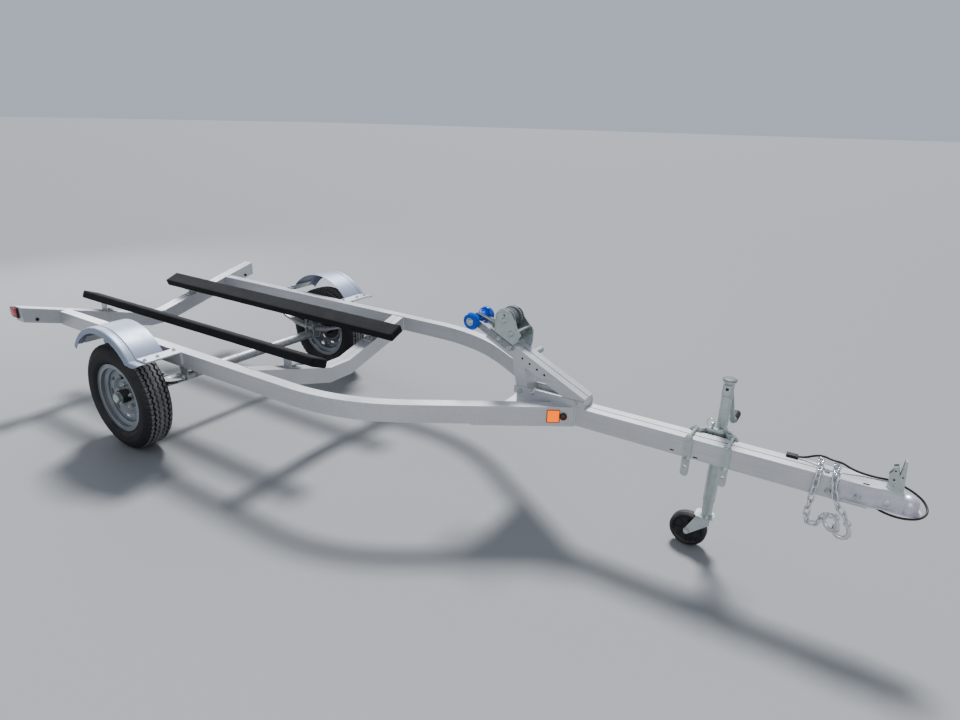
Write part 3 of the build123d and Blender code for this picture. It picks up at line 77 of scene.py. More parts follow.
daylight = {
    "sky": (0.80, 0.88, 1.0, 1.0), "skyStrength": 0.42, "exposure": 0.25,
    "softBoxes": {  # place, aimed at, size, watts, colour
        "nearSide": ((3.4, -4.6, 2.2), (0.4, 0.0, 0.3), 3.0, 32, (1.0, 0.95, 0.87)),
        "rearSide": ((-5.2, 0.8, 2.6), (-0.4, 0.0, 0.3), 2.5, 50, (0.93, 0.96, 1.0)),
    },
    "sunFrom": (-0.25, 0.55, 1.0), "sunStrength": 3.3, "sunAngle": radians(14), "sunColor": (0.97, 0.98, 1.0),
}
world = bpy.data.worlds.new("studioSky")
world.use_nodes = True
sky = world.node_tree.nodes["Background"].inputs
sky["Color"].default_value = daylight["sky"]
sky["Strength"].default_value = daylight["skyStrength"]
bpy.context.scene.world = world
for name, (place, aim, size, watts, colour) in daylight["softBoxes"].items():
    light = bpy.data.lights.new(name, "AREA")
    light.energy, light.size, light.color = watts, size, colour
    softBox = show(name, light)
    softBox.location = place
    softBox.rotation_euler = (Vector(aim) - Vector(place)).to_track_quat("-Z", "Y").to_euler()
sunData = bpy.data.lights.new("hazySun", "SUN")
sunData.energy = daylight["sunStrength"]
sunData.angle = daylight["sunAngle"]
sunData.color = daylight["sunColor"]
sun = show("hazySun", sunData)
sun.rotation_euler = Vector(daylight["sunFrom"]).to_track_quat("Z", "Y").to_euler()
bpy.context.scene.view_settings.view_transform = "AgX"
bpy.context.scene.view_settings.look = "AgX - Medium High Contrast"
bpy.context.scene.view_settings.exposure = daylight["exposure"]


# mesh helpers
def meshFrom(name, bm):
    bmesh.ops.recalc_face_normals(bm, faces=bm.faces)
    mesh = bpy.data.meshes.new(name)
    bm.to_mesh(mesh)
    bm.free()
    return mesh


def pieceOf(name, bm, body, material, sharp=40):
    # edges that turn by more than sharp degrees are shaded hard
    mesh = meshFrom(name, bm)
    mesh.materials.append(material)
    for face in mesh.polygons:
        face.use_smooth = True
    mesh.set_sharp_from_angle(angle=radians(sharp))
    piece = show(name, mesh)
    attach(piece, body)
    return piece


def facing(place, axis, spinBy=0.0):
    # a matrix at place whose local Z looks along axis
    turnTo = Vector(axis).to_track_quat("Z", "Y").to_matrix().to_4x4()
    return Matrix.Translation(place) @ turnTo @ Matrix.Rotation(spinBy, 4, "Z")


def spin(bm, outline, place, count=48, closed=False, ends=True):
    # turns (radius, along) pairs round local Z; an open outline gets flat ends on the axis
    if ends and not closed:
        first, last = outline[0], outline[-1]
        outline = [(0.0, first[1])] * (first[0] > 0) + outline + [(0.0, last[1])] * (last[0] > 0)
    turns = [(cos(2 * pi * i / count), sin(2 * pi * i / count)) for i in range(count)]
    rings = []
    for radius, along in outline:
        spokes = turns if radius > 0 else [(0.0, 0.0)]
        rings.append([bm.verts.new(place @ Vector((radius * c, radius * s, along))) for c, s in spokes])
    pairs = list(zip(rings, rings[1:])) + ([(rings[-1], rings[0])] if closed else [])
    for a, b in pairs:
        for i in range(count):
            j = (i + 1) % count
            corners = [a[i % len(a)], a[j % len(a)], b[j % len(b)], b[i % len(b)]]
            corners = [c for k, c in enumerate(corners) if c not in corners[:k]]
            if len(corners) > 2:
                bm.faces.new(corners)


def skin(bm, rings, closed=False):
    # walls from each ring of points to the next, with both ends filled unless it is closed
    for one, two in zip(rings, rings[1:] + ([rings[0]] if closed else [])):
        for k in range(len(one)):
            m = (k + 1) % len(one)
            bm.faces.new([one[k], one[m], two[m], two[k]])
    if not closed:
        bm.faces.new(rings[0][::-1])
        bm.faces.new(rings[-1])


def loopOf(centre, one, two, count):
    # a loop of points; one and two are its half axes
    return [centre + one * cos(2 * pi * i / count) + two * sin(2 * pi * i / count) for i in range(count)]


def domeHead(bm, place, axis, radius, height):
    arc = [(radius * cos(a * pi / 12), height * sin(a * pi / 12)) for a in range(6)]
    spin(bm, arc + [(0.0, height)], facing(place, axis), 24)


boltKinds = {  # across flats, height, washer's radius, thread past the nut, thread's radius
    "large": (0.019, 0.009, 0.0125, 0.005, 0.0055),
    "low": (0.019, 0.007, 0.0125, 0.0002, 0.0055),
    "medium": (0.016, 0.008, 0.0105, 0.004, 0.0045),
    "small": (0.013, 0.006, 0.009, 0.003, 0.0035),
    "spring": (0.021, 0.0085, 0.012, 0.003, 0.0062),
    "wheel": (0.0206, 0.017, 0.0, 0.006, 0.0062),
    "winchShaft": (0.019, 0.007, 0.0125, 0.0015, 0.006),
    "winchCrank": (0.019, 0.008, 0.0125, 0.003, 0.006),
    "pawl": (0.014, 0.005, 0.0, 0.001, 0.004),
    "roller": (0.0195, 0.0062, 0.0, 0.0015, 0.0062),
    "jackShaft": (0.016, 0.008, 0.0105, 0.003, 0.005),
    "caster": (0.019, 0.0075, 0.0118, 0.002, 0.0058),
}


def hexBolt(bm, kind, place, axis, spinBy=0.0):
    # washer, chamfered hexagon and the thread's end
    across, height, washer, stud, studRadius = boltKinds[kind]
    at = facing(place, axis, spinBy)
    low = 0.0018 if washer else 0.0
    if washer:
        spin(bm, [(washer, 0.0), (washer, 0.0012), (washer - 0.0006, low)], at, 28)
    corner, top = across / 2 / cos(pi / 6), low + height
    spin(bm, [(corner, low), (corner, low + height * 0.85), (corner * 0.88, top)], at, 6)
    end = top + stud
    spin(bm, [(studRadius, low), (studRadius, end - 0.001), (studRadius - 0.001, end)], at, 16)


def sweepTube(bm, points, radius, sides=12, closed=False, flat=1.0, across=None):
    # wire along points; radius may be a list, and flat thins it along the direction across
    count = len(points)
    radii = radius if isinstance(radius, list) else [radius] * count
    angles = [2 * pi * k / sides for k in range(sides)]
    rings, normal = [], Vector(across) if across else None
    for i, point in enumerate(points):
        before = points[i - 1] if closed or i else point
        after = points[(i + 1) % count] if closed or i < count - 1 else point
        along = (Vector(after) - Vector(before)).normalized()
        if normal is None:
            normal = along.orthogonal().normalized()
        normal = (normal - along * normal.dot(along)).normalized()
        side = along.cross(normal)
        spokes = [normal * flat * cos(a) + side * sin(a) for a in angles]
        rings.append([bm.verts.new(Vector(point) + radii[i] * spoke) for spoke in spokes])
    skin(bm, rings, closed)


def slab(bm, low, high, rounding=0.002, place=None, segments=2):
    # box between two corners with rounded edges
    low, high = Vector(low), Vector(high)
    made = bmesh.ops.create_cube(bm, size=1.0)["verts"]
    for vert in made:
        vert.co = Vector(low[k] + (high[k] - low[k]) * (vert.co[k] + 0.5) for k in range(3))
    edges = list(dict.fromkeys(edge for vert in made for edge in vert.link_edges))  # same order each run
    rounded = bmesh.ops.bevel(bm, geom=edges, offset=rounding, segments=segments, profile=0.5, affect="EDGES")
    if place:
        corners = dict.fromkeys(vert for face in rounded["faces"] for vert in face.verts)
        bmesh.ops.transform(bm, matrix=place, verts=list(corners))


def ribbon(bm, centres, outs, halfThicks, halfWidths):
    # flat webbing with rounded selvedges; outs are the directions its outer face looks
    outline = [(-1, 0), (-0.985, 0.8), (-0.93, 1.0), (-0.86, 0.72), (0.86, 0.72), (0.93, 1.0), (0.985, 0.8)]
    outline += [(-a, -b) for a, b in outline]
    rings = [[bm.verts.new(centre + Vector((0, a * wide, 0)) + out * b * thick) for a, b in outline]
             for centre, out, thick, wide in zip(centres, outs, halfThicks, halfWidths)]
    skin(bm, rings)


def weldBead(bm, start, end, radius=0.0032, pitch=0.0035):
    # row of small overlapping puddles
    count = max(4, int((end - start).length / pitch * 2))
    points = [start.lerp(end, i / count) for i in range(count + 1)]
    sweepTube(bm, points, [radius * (0.86 if i % 2 else 1.0) for i in range(count + 1)], sides=8)


# shader helpers
floatIn, colorIn, vectorIn = "NodeSocketFloat", "NodeSocketColor", "NodeSocketVector"
grey = (0.5, 0.5, 0.5, 1.0)


def newGroup(name, inputs, outputs):
    # an input takes its kind from its first value: a number, a vector of 3 or a colour of 4
    tree = bpy.data.node_groups.new(name, "ShaderNodeTree")
    for label, value in inputs.items():
        kind = {1: floatIn, 3: vectorIn, 4: colorIn}[len(value) if isinstance(value, tuple) else 1]
        tree.interface.new_socket(label, in_out="INPUT", socket_type=kind).default_value = value
    for label, kind in outputs.items():
        tree.interface.new_socket(label, in_out="OUTPUT", socket_type=kind)
    return tree, tree.nodes.new("NodeGroupInput").outputs, tree.nodes.new("NodeGroupOutput").inputs


def setSocket(socket, value):
    # colours are written without their alpha
    plainColor = socket.type == "RGBA" and len(value) == 3
    socket.default_value = (*value, 1.0) if plainColor else value


def put(tree, kind, settings=None, **values):
    # i0, i1 and so on name a socket by its number
    node = tree.nodes.new(kind)
    for key, value in (settings or {}).items():
        setattr(node, key, value)
    for key, value in values.items():
        byNumber = key[0] == "i" and key[1:].isdigit()
        socket = node.inputs[int(key[1:])] if byNumber else node.inputs[key.replace("_", " ")]
        if hasattr(value, "is_output"):
            tree.links.new(value, socket)
        else:
            setSocket(socket, value)
    return node


def send(tree, sockets, **sources):
    for label, source in sources.items():
        tree.links.new(source, sockets[label.replace("_", " ")])


def objectPlace(tree):
    return put(tree, "ShaderNodeTexCoord").outputs["Object"]


def noiseOf(tree, where, scale, detail, roughness=0.5):
    node = put(tree, "ShaderNodeTexNoise", Vector=where, Scale=scale, Detail=detail, Roughness=roughness)
    return node.outputs["Fac"]


def ranged(tree, value, low, high, toLow=0.0, toHigh=1.0):
    node = put(tree, "ShaderNodeMapRange", Value=value, From_Min=low, From_Max=high,
               To_Min=toLow, To_Max=toHigh)
    return node.outputs[0]


def times(tree, one, two, clamp=False):
    settings = {"operation": "MULTIPLY", "use_clamp": clamp}
    return put(tree, "ShaderNodeMath", settings, i0=one, i1=two).outputs[0]


def timesPlus(tree, one, two, more, clamp=False):
    settings = {"operation": "MULTIPLY_ADD", "use_clamp": clamp}
    return put(tree, "ShaderNodeMath", settings, i0=one, i1=two, i2=more).outputs[0]


def mixColor(tree, weight, one, two):
    return put(tree, "ShaderNodeMix", {"data_type": "RGBA"}, i0=weight, i6=one, i7=two).outputs[2]


# shader groups
def mottleGroup():
    # cloudy colour and roughness with a fine grain on top
    tree, given, result = newGroup("mottle", {
        "Base": grey, "Tint": grey, "Scale": 6.0, "Amount": 0.5, "Rough": 0.4, "Rough Spread": 0.1,
        "Grain Scale": 400.0}, {"Color": colorIn, "Roughness": floatIn, "Height": floatIn})
    where = objectPlace(tree)
    shift = ranged(tree, noiseOf(tree, where, given["Scale"], 5.0, 0.6), 0.32, 0.68)
    blend = mixColor(tree, times(tree, shift, given["Amount"]), given["Base"], given["Tint"])
    rough = timesPlus(tree, shift, given["Rough Spread"], given["Rough"])
    grain = noiseOf(tree, where, given["Grain Scale"], 2.0)
    send(tree, result, Color=blend, Roughness=rough, Height=grain)
    return tree


def streakGroup():
    # long extrusion or drawing lines along one axis
    tree, given, result = newGroup("streak", {
        "Along": (2.0, 160.0, 160.0), "Strength": 0.2, "Color": grey, "Dark": grey},
        {"Color": colorIn, "Height": floatIn})
    where = objectPlace(tree)
    stretched = put(tree, "ShaderNodeVectorMath", {"operation": "MULTIPLY"}, i0=where, i1=given["Along"])
    lines = noiseOf(tree, stretched.outputs[0], 1.0, 4.0, 0.65)
    weight = times(tree, ranged(tree, lines, 0.35, 0.7), given["Strength"])
    send(tree, result, Color=mixColor(tree, weight, given["Color"], given["Dark"]), Height=lines)
    return tree


def spangleGroup():
    # crystal patches of hot-dip zinc
    tree, given, result = newGroup("spangle", {
        "Color": grey, "Scale": 90.0, "Contrast": 0.25}, {"Color": colorIn})
    where = objectPlace(tree)
    wobble = put(tree, "ShaderNodeTexNoise", Vector=where, Scale=30.0, Detail=3.0).outputs["Color"]
    bent = put(tree, "ShaderNodeVectorMath", {"operation": "MULTIPLY_ADD"}, i0=wobble, i1=(0.02, 0.02, 0.02),
               i2=where)
    cells = put(tree, "ShaderNodeTexVoronoi", Vector=bent.outputs[0], Scale=given["Scale"])
    level = put(tree, "ShaderNodeRGBToBW", Color=cells.outputs["Color"]).outputs[0]
    weight = times(tree, ranged(tree, level, 0.2, 0.8, 1.0, 0.0), given["Contrast"])
    send(tree, result, Color=mixColor(tree, weight, given["Color"], (0.12, 0.125, 0.13)))
    return tree


def dustGroup():
    # pale dust that lies on what faces up
    tree, given, result = newGroup("dust", {
        "Color": grey, "Dust": (0.42, 0.39, 0.34, 1.0), "Amount": 0.2, "Roughness": 0.4},
        {"Color": colorIn, "Roughness": floatIn})
    normal = put(tree, "ShaderNodeNewGeometry").outputs["Normal"]
    upward = put(tree, "ShaderNodeSeparateXYZ", Vector=normal).outputs["Z"]
    patches = noiseOf(tree, objectPlace(tree), 9.0, 6.0, 0.7)
    both = times(tree, ranged(tree, upward, -0.2, 1.0), ranged(tree, patches, 0.38, 0.72))
    mask = times(tree, both, given["Amount"], clamp=True)
    rough = timesPlus(tree, mask, 0.4, given["Roughness"], clamp=True)
    send(tree, result, Color=mixColor(tree, mask, given["Color"], given["Dust"]), Roughness=rough)
    return tree


def edgeGroup():
    # brighter worn edges found by comparing a rounded normal with the true one
    tree, given, result = newGroup("edgeWear", {
        "Color": grey, "Edge": grey, "Width": 0.0015, "Amount": 0.5}, {"Color": colorIn})
    rounded = put(tree, "ShaderNodeBevel", {"samples": 4}, Radius=given["Width"]).outputs[0]
    true = put(tree, "ShaderNodeNewGeometry").outputs["Normal"]
    match = put(tree, "ShaderNodeVectorMath", {"operation": "DOT_PRODUCT"}, i0=rounded, i1=true)
    broken = noiseOf(tree, objectPlace(tree), 120.0, 3.0)
    rubbed = times(tree, ranged(tree, match.outputs["Value"], 0.99, 0.8), broken)
    mask = times(tree, rubbed, given["Amount"], clamp=True)
    send(tree, result, Color=mixColor(tree, mask, given["Color"], given["Edge"]))
    return tree


mottle, streak, spangle = mottleGroup(), streakGroup(), spangleGroup()
dust, edgeWear = dustGroup(), edgeGroup()
print("shader groups ready")


# materials
def useGroup(tree, group, **values):
    return put(tree, "ShaderNodeGroup", {"node_tree": group}, **values).outputs


def startMaterial(name, **fixed):
    material = bpy.data.materials.new(name)
    material.use_nodes = True
    shader = material.node_tree.nodes["Principled BSDF"]
    for key, value in fixed.items():
        setSocket(shader.inputs[key.replace("_", " ")], value)
    return material, material.node_tree, shader


def cloudyBase(tree, look, amount, spread, grain=400.0):
    return useGroup(tree, mottle, Base=look["base"], Tint=look["tint"], Scale=look["cloud"], Amount=amount,
                    Rough=look["rough"], Rough_Spread=spread, Grain_Scale=grain)


def finishSurface(tree, shader, color, roughness, dustAmount, height, strength, distance):
    # dust over the colour, and the surface's fine relief
    dusty = useGroup(tree, dust, Color=color, Amount=dustAmount, Roughness=roughness)
    relief = put(tree, "ShaderNodeBump", Strength=strength, Distance=distance, Height=height)
    send(tree, shader.inputs, Base_Color=dusty["Color"], Roughness=dusty["Roughness"],
         Normal=relief.outputs["Normal"])


def extrusionMetal(name, look):
    material, tree, shader = startMaterial(name, Metallic=look["metallic"])
    cloudy = cloudyBase(tree, look, 0.55, 0.12, 700.0)
    lines = useGroup(tree, streak, Along=look["along"], Strength=look["streaks"], Color=cloudy["Color"],
                     Dark=look["dark"])
    worn = useGroup(tree, edgeWear, Color=lines["Color"], Edge=look["edge"], Width=0.0015, Amount=0.6)
    finishSurface(tree, shader, worn["Color"], cloudy["Roughness"], look["dust"],
                  lines["Height"], look["bump"], 0.0004)
    return material


def zincMetal(name, look):
    material, tree, shader = startMaterial(name, Metallic=look["metallic"])
    cloudy = cloudyBase(tree, look, 0.7, 0.16, 500.0)
    crystals = useGroup(tree, spangle, Color=cloudy["Color"], Scale=look["crystal"],
                        Contrast=look["contrast"])
    worn = useGroup(tree, edgeWear, Color=crystals["Color"], Edge=(0.86, 0.87, 0.88), Width=0.001, Amount=0.5)
    finishSurface(tree, shader, worn["Color"], cloudy["Roughness"], look["dust"],
                  cloudy["Height"], 0.12, 0.0003)
    return material


def mouldedPlastic(name, look):
    material, tree, shader = startMaterial(name, **look.get("fixed", {}))
    cloudy = cloudyBase(tree, look, 0.6, 0.15, 300.0)
    finishSurface(tree, shader, cloudy["Color"], cloudy["Roughness"], look["dust"],
                  cloudy["Height"], look["bump"], 0.0005)
    return material


def carpetCloth(name, look):
    # short looped pile
    material, tree, shader = startMaterial(name, Sheen_Weight=0.04, Sheen_Roughness=0.5)
    where = objectPlace(tree)
    pile = put(tree, "ShaderNodeTexVoronoi", {"feature": "SMOOTH_F1"}, Vector=where, Scale=look["pile"])
    fuzz = noiseOf(tree, where, look["fuzz"], 6.0, 0.8)
    both = timesPlus(tree, pile.outputs["Distance"], 0.7, fuzz)
    cloudy = cloudyBase(tree, look, 0.8, 0.08)
    blend = mixColor(tree, ranged(tree, both, 0.5, 1.1), cloudy["Color"], look["tips"])
    finishSurface(tree, shader, blend, cloudy["Roughness"], look["dust"], both, 0.9, 0.0012)
    return material


def webbingCloth(name, look):
    # woven polyester: two crossed sets of fine yarns
    material, tree, shader = startMaterial(name, Sheen_Weight=0.2)
    where = objectPlace(tree)
    yarns = [put(tree, "ShaderNodeTexWave", {"bands_direction": axis}, Vector=where, Scale=look["yarns"],
                 Distortion=0.4).outputs["Fac"] for axis in "YX"]
    crossed = times(tree, *yarns)
    blend = mixColor(tree, crossed, look["base"], look["tips"])
    finishSurface(tree, shader, blend, 0.8, 0.25, crossed, 0.7, 0.0008)
    return material


def reflexLens(name, look):
    # small prisms moulded in a clear coloured lens, with a painted glow of the lens's own colour
    material, tree, shader = startMaterial(name, Coat_Weight=0.6, Coat_Roughness=0.05,
                                           Emission_Color=look["base"], Emission_Strength=look["paintedGlow"])
    prisms = put(tree, "ShaderNodeTexVoronoi", {"distance": "MANHATTAN"}, Vector=objectPlace(tree),
                 Scale=look["prisms"]).outputs["Distance"]
    blend = mixColor(tree, prisms, look["base"], look["deep"])
    finishSurface(tree, shader, blend, 0.14, 0.1, prisms, 0.35, 0.0008)
    return material


railAluminium = extrusionMetal("railAluminium", {
    "metallic": 0.6, "base": (0.68, 0.69, 0.71), "tint": (0.58, 0.59, 0.60), "dark": (0.45, 0.455, 0.47),
    "edge": (0.9, 0.91, 0.93), "cloud": 3.5, "rough": 0.33, "along": (3.0, 180.0, 180.0), "streaks": 0.35,
    "dust": 0.12, "bump": 0.10})
fenderAluminium = extrusionMetal("fenderAluminium", {
    "metallic": 0.35, "base": (0.36, 0.40, 0.50), "tint": (0.32, 0.36, 0.44), "dark": (0.28, 0.31, 0.37),
    "edge": (0.7, 0.73, 0.79), "cloud": 5.0, "rough": 0.40, "along": (60.0, 8.0, 60.0), "streaks": 0.15,
    "dust": 0.18, "bump": 0.04})
couplerZinc = extrusionMetal("couplerZinc", {
    "metallic": 0.6, "base": (0.72, 0.72, 0.77), "tint": (0.58, 0.58, 0.62), "dark": (0.42, 0.42, 0.45),
    "edge": (0.9, 0.9, 0.92), "cloud": 18.0, "rough": 0.3, "along": (20.0, 60.0, 60.0), "streaks": 0.3,
    "dust": 0.12, "bump": 0.08})
weldAluminium = extrusionMetal("weldAluminium", {
    "metallic": 0.6, "base": (0.80, 0.81, 0.83), "tint": (0.66, 0.67, 0.69), "dark": (0.5, 0.5, 0.52),
    "edge": (0.9, 0.91, 0.93), "cloud": 60.0, "rough": 0.30, "along": (90.0, 90.0, 90.0), "streaks": 0.25,
    "dust": 0.1, "bump": 0.1})
galvanised = zincMetal("galvanised", {
    "metallic": 0.75, "base": (0.50, 0.515, 0.53), "tint": (0.36, 0.375, 0.39), "cloud": 12.0, "rough": 0.42,
    "crystal": 110.0, "contrast": 0.3, "dust": 0.3})
zincPlate = zincMetal("zincPlate", {
    "metallic": 0.85, "base": (0.64, 0.68, 0.68), "tint": (0.46, 0.53, 0.51), "cloud": 22.0, "rough": 0.24,
    "crystal": 260.0, "contrast": 0.1, "dust": 0.12})
chainZinc = zincMetal("chainZinc", {
    "metallic": 0.9, "base": (0.84, 0.86, 0.88), "tint": (0.62, 0.64, 0.67), "cloud": 60.0, "rough": 0.12,
    "crystal": 300.0, "contrast": 0.1, "dust": 0.05})
wheelSilver = zincMetal("wheelSilver", {
    "metallic": 0.5, "base": (0.36, 0.385, 0.41), "tint": (0.28, 0.30, 0.32), "cloud": 9.0, "rough": 0.32,
    "crystal": 160.0, "contrast": 0.12, "dust": 0.3})
hubBlack = mouldedPlastic("hubBlack", {
    "base": (0.02, 0.02, 0.022), "tint": (0.06, 0.055, 0.05), "cloud": 30.0, "rough": 0.42, "dust": 0.3,
    "bump": 0.2})
tyreRubber = mouldedPlastic("tyreRubber", {
    "base": (0.022, 0.023, 0.025), "tint": (0.040, 0.040, 0.041), "cloud": 10.0, "rough": 0.62, "dust": 0.25,
    "bump": 0.25})
# the tread is a lighter grey than the sidewalls: partly dust, partly a painted highlight for the sky's glint
# on its ribs
tyreTread = mouldedPlastic("tyreTread", {
    "base": (0.12, 0.122, 0.126), "tint": (0.24, 0.238, 0.235), "cloud": 26.0, "rough": 0.5, "dust": 0.4,
    "bump": 0.3})
rollerBlue = mouldedPlastic("rollerBlue", {
    "base": (0.004, 0.10, 0.62), "tint": (0.003, 0.07, 0.45), "cloud": 20.0, "rough": 0.2, "dust": 0.05,
    "bump": 0.06, "fixed": {"Coat_Weight": 0.3, "Coat_Roughness": 0.15}})
casterBlack = mouldedPlastic("casterBlack", {
    "base": (0.018, 0.018, 0.019), "tint": (0.05, 0.048, 0.045), "cloud": 25.0, "rough": 0.48, "dust": 0.35,
    "bump": 0.2})
cordBlack = mouldedPlastic("cordBlack", {
    "base": (0.012, 0.012, 0.013), "tint": (0.03, 0.03, 0.03), "cloud": 40.0, "rough": 0.38, "dust": 0.1,
    "bump": 0.1})
gripGrey = mouldedPlastic("gripGrey", {
    "base": (0.42, 0.43, 0.44), "tint": (0.34, 0.35, 0.36), "cloud": 30.0, "rough": 0.4, "dust": 0.15,
    "bump": 0.1})
capGrey = mouldedPlastic("capGrey", {
    "base": (0.20, 0.205, 0.215), "tint": (0.14, 0.145, 0.15), "cloud": 30.0, "rough": 0.45, "dust": 0.1,
    "bump": 0.1})
# painted shade for the slots: a matt black that hardly reflects
slotShadeBlack = mouldedPlastic("slotShadeBlack", {
    "base": (0.012, 0.012, 0.014), "tint": (0.03, 0.03, 0.032), "cloud": 40.0, "rough": 0.9, "dust": 0.0,
    "bump": 0.1, "fixed": {"Specular_IOR_Level": 0.1}})
# painted shade for the grooves: a dark matt grey
paintedGrooveShade = mouldedPlastic("paintedGrooveShade", {
    "base": (0.05, 0.052, 0.065), "tint": (0.10, 0.10, 0.12), "cloud": 18.0, "rough": 0.8, "dust": 0.05,
    "bump": 0.1})
lampBlack = mouldedPlastic("lampBlack", {
    "base": (0.015, 0.015, 0.016), "tint": (0.035, 0.035, 0.035), "cloud": 30.0, "rough": 0.4, "dust": 0.15,
    "bump": 0.15})
bunkCarpet = carpetCloth("bunkCarpet", {
    "base": (0.004, 0.0042, 0.005), "tint": (0.008, 0.0085, 0.010), "tips": (0.016, 0.017, 0.020),
    "cloud": 14.0, "rough": 0.9, "pile": 420.0, "fuzz": 900.0, "dust": 0.02})
strapWebbing = webbingCloth("strapWebbing", {
    "base": (0.07, 0.074, 0.082), "tips": (0.17, 0.18, 0.20), "yarns": 160.0})
strapThread = webbingCloth("strapThread", {
    "base": (0.30, 0.31, 0.33), "tips": (0.45, 0.46, 0.48), "yarns": 300.0})
# painted light: a faint glow on the unlit tail lamps' red lenses
redLens = reflexLens("redLens", {
    "base": (0.55, 0.01, 0.012), "deep": (0.28, 0.004, 0.006), "prisms": 260.0, "paintedGlow": 0.1})
# painted light: the amber reflector glows, standing in for sunlight thrown back by its prisms
amberLens = reflexLens("amberLens", {
    "base": (1.0, 0.20, 0.006), "deep": (1.0, 0.15, 0.003), "prisms": 300.0, "paintedGlow": 0.8})
markerLens = reflexLens("markerLens", {
    "base": (0.25, 0.03, 0.004), "deep": (0.10, 0.012, 0.002), "prisms": 320.0, "paintedGlow": 0.0})

nodeFinish = {
    railAluminium: "rail_left rail_right cross_member_rear cross_member_front tongue tongue_gusset mast "
                   "mast_strut mast_base bunk_brackets fender_brackets",
    fenderAluminium: "fender_left fender_right",
    couplerZinc: "coupler",
    galvanised: "axle spring_hangers spring_clamps leaf_spring_left leaf_spring_right roller_bracket",
    zincPlate: "winch_frame winch_drum winch_crank coupler_latch jack_mount jack_tube jack_crank jack_ram "
               "caster_fork dust_cap_left dust_cap_right safety_chain_front safety_chain_rear",
    wheelSilver: "rim_left rim_right",
    hubBlack: "hub_left hub_right",
    tyreRubber: "tyre_left tyre_right",
    rollerBlue: "bow_roller",
    casterBlack: "caster_wheel",
    cordBlack: "wiring_plug",
    bunkCarpet: "bunk_left bunk_right",
    strapWebbing: "winch_strap winch_strap_roll",
    redLens: "tail_lamp_left tail_lamp_right",
    amberLens: "side_lights",
}
for material, names in nodeFinish.items():
    for name in names.split():
        mesh = cadNodes[name].data
        mesh.materials.clear()
        mesh.materials.append(material)
print("materials on", sum(len(names.split()) for names in nodeFinish.values()), "nodes")


def softenEdges(names, width, segments=2, angle=35):
    # small rounds on the CAD's sharp edges
    for name in names.split():
        piece = cadNodes[name]
        for face in piece.data.polygons:
            face.use_smooth = True
        edge = piece.modifiers.new("edgeRound", "BEVEL")
        edge.width, edge.segments = width, segments
        edge.limit_method, edge.angle_limit = "ANGLE", radians(angle)
        edge.harden_normals = False
        even = piece.modifiers.new("evenShade", "WEIGHTED_NORMAL")
        even.keep_sharp = True


softenEdges("rail_left rail_right cross_member_rear cross_member_front tongue mast mast_strut", 0.0022)
softenEdges("mast_base bunk_brackets fender_brackets tongue_gusset winch_frame roller_bracket jack_mount "
            "coupler_latch jack_tube jack_crank winch_crank spring_hangers spring_clamps caster_fork "
            "axle", 0.0008)

# wiring cord
wiring = {"diameter": 0.007, "sides": 6, "length": 0.657, "route": [
    (3030, -8, 459), (3062, -14, 451), (3094, -34, 444.5), (3127, -46, 444.5), (3162, -46.5, 446),
    (3200, -30, 451), (3220, 9, 460), (3207, 44, 476), (3174, 54, 494), (3138, 45, 511),
    (3105, 31, 525.5), (3068, 24, 525), (3030, 21, 527), (2995, 15, 536), (2966, 14, 550),
    (2936, 20, 547), (2910, 28, 551), (2884, 32, 540), (2862, 34, 525), (2840, 34, 521.3)]}


def makeCord(material):
    route = [fromAxle(*point) for point in wiring["route"]]
    curve = bpy.data.curves.new("wiringCord", "CURVE")
    curve.dimensions = "3D"
    spline = curve.splines.new("NURBS")
    spline.points.add(len(route) - 1)
    for point, place in zip(spline.points, route):
        point.co = (*place, 1.0)
    spline.order_u = 3
    spline.use_endpoint_u = True
    spline.resolution_u = 12
    curve.bevel_depth = wiring["diameter"] / 2
    curve.bevel_resolution = wiring["sides"]
    curve.materials.append(material)
    cord = show("wiringCord", curve)
    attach(cord, "frame")
    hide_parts("wiring_cord")


makeCord(cordBlack)
print("wiring cord laid")

# tyres
tyre = {
    "centreY": 0.665, "centreZ": 0.265, "crown": 0.265, "crownDrop": 0.9, "treadFrom": 0.2605,
    "zigzags": 58, "stepsEach": 6,
    "side": [(0.1530, 0.0506), (0.1700, 0.0506), (0.1735, 0.0535), (0.1800, 0.0610), (0.1860, 0.0648),
             (0.1880, 0.0668), (0.1960, 0.0686), (0.2080, 0.0698), (0.2200, 0.0696), (0.2240, 0.0702),
             (0.2270, 0.0686), (0.2380, 0.0660), (0.2480, 0.0610)],
    "shoulder": [(0.2530, 0.0575), (0.2580, 0.0545), (0.2615, 0.0500)],
    "grooves": [(0.0340, 0.0046, 0.0042), (0.0125, 0.0042, 0.0034)],  # place, half width, zigzag
    "grooveDepth": 0.0075, "grooveFloor": 0.6, "shoulderCut": 0.0045, "blockCut": 0.002,
}


def crownRadius(y):
    return tyre["crown"] - tyre["crownDrop"] * y * y


def tyreColumns():
    # radius, place across, zigzag and kind of each line of points round the tyre
    columns = [(r, y, 0.0, "wall") for r, y in tyre["side"]]
    columns += [(r, y, 0.0, "shoulder") for r, y in tyre["shoulder"]]
    for y, width, zig in tyre["grooves"]:
        top, floor = crownRadius(y), width * tyre["grooveFloor"]
        deep = top - tyre["grooveDepth"]
        columns += [(top, y + width, zig, "block"), (deep, y + floor, zig, "wall"),
                    (deep, y - floor, zig, "wall"), (top, y - width, zig, "block")]
    columns += [(crownRadius(0), 0.0, 0.0, "wall")]
    return columns + [(r, -y, zig, kind) for r, y, zig, kind in reversed(columns[:-1])]


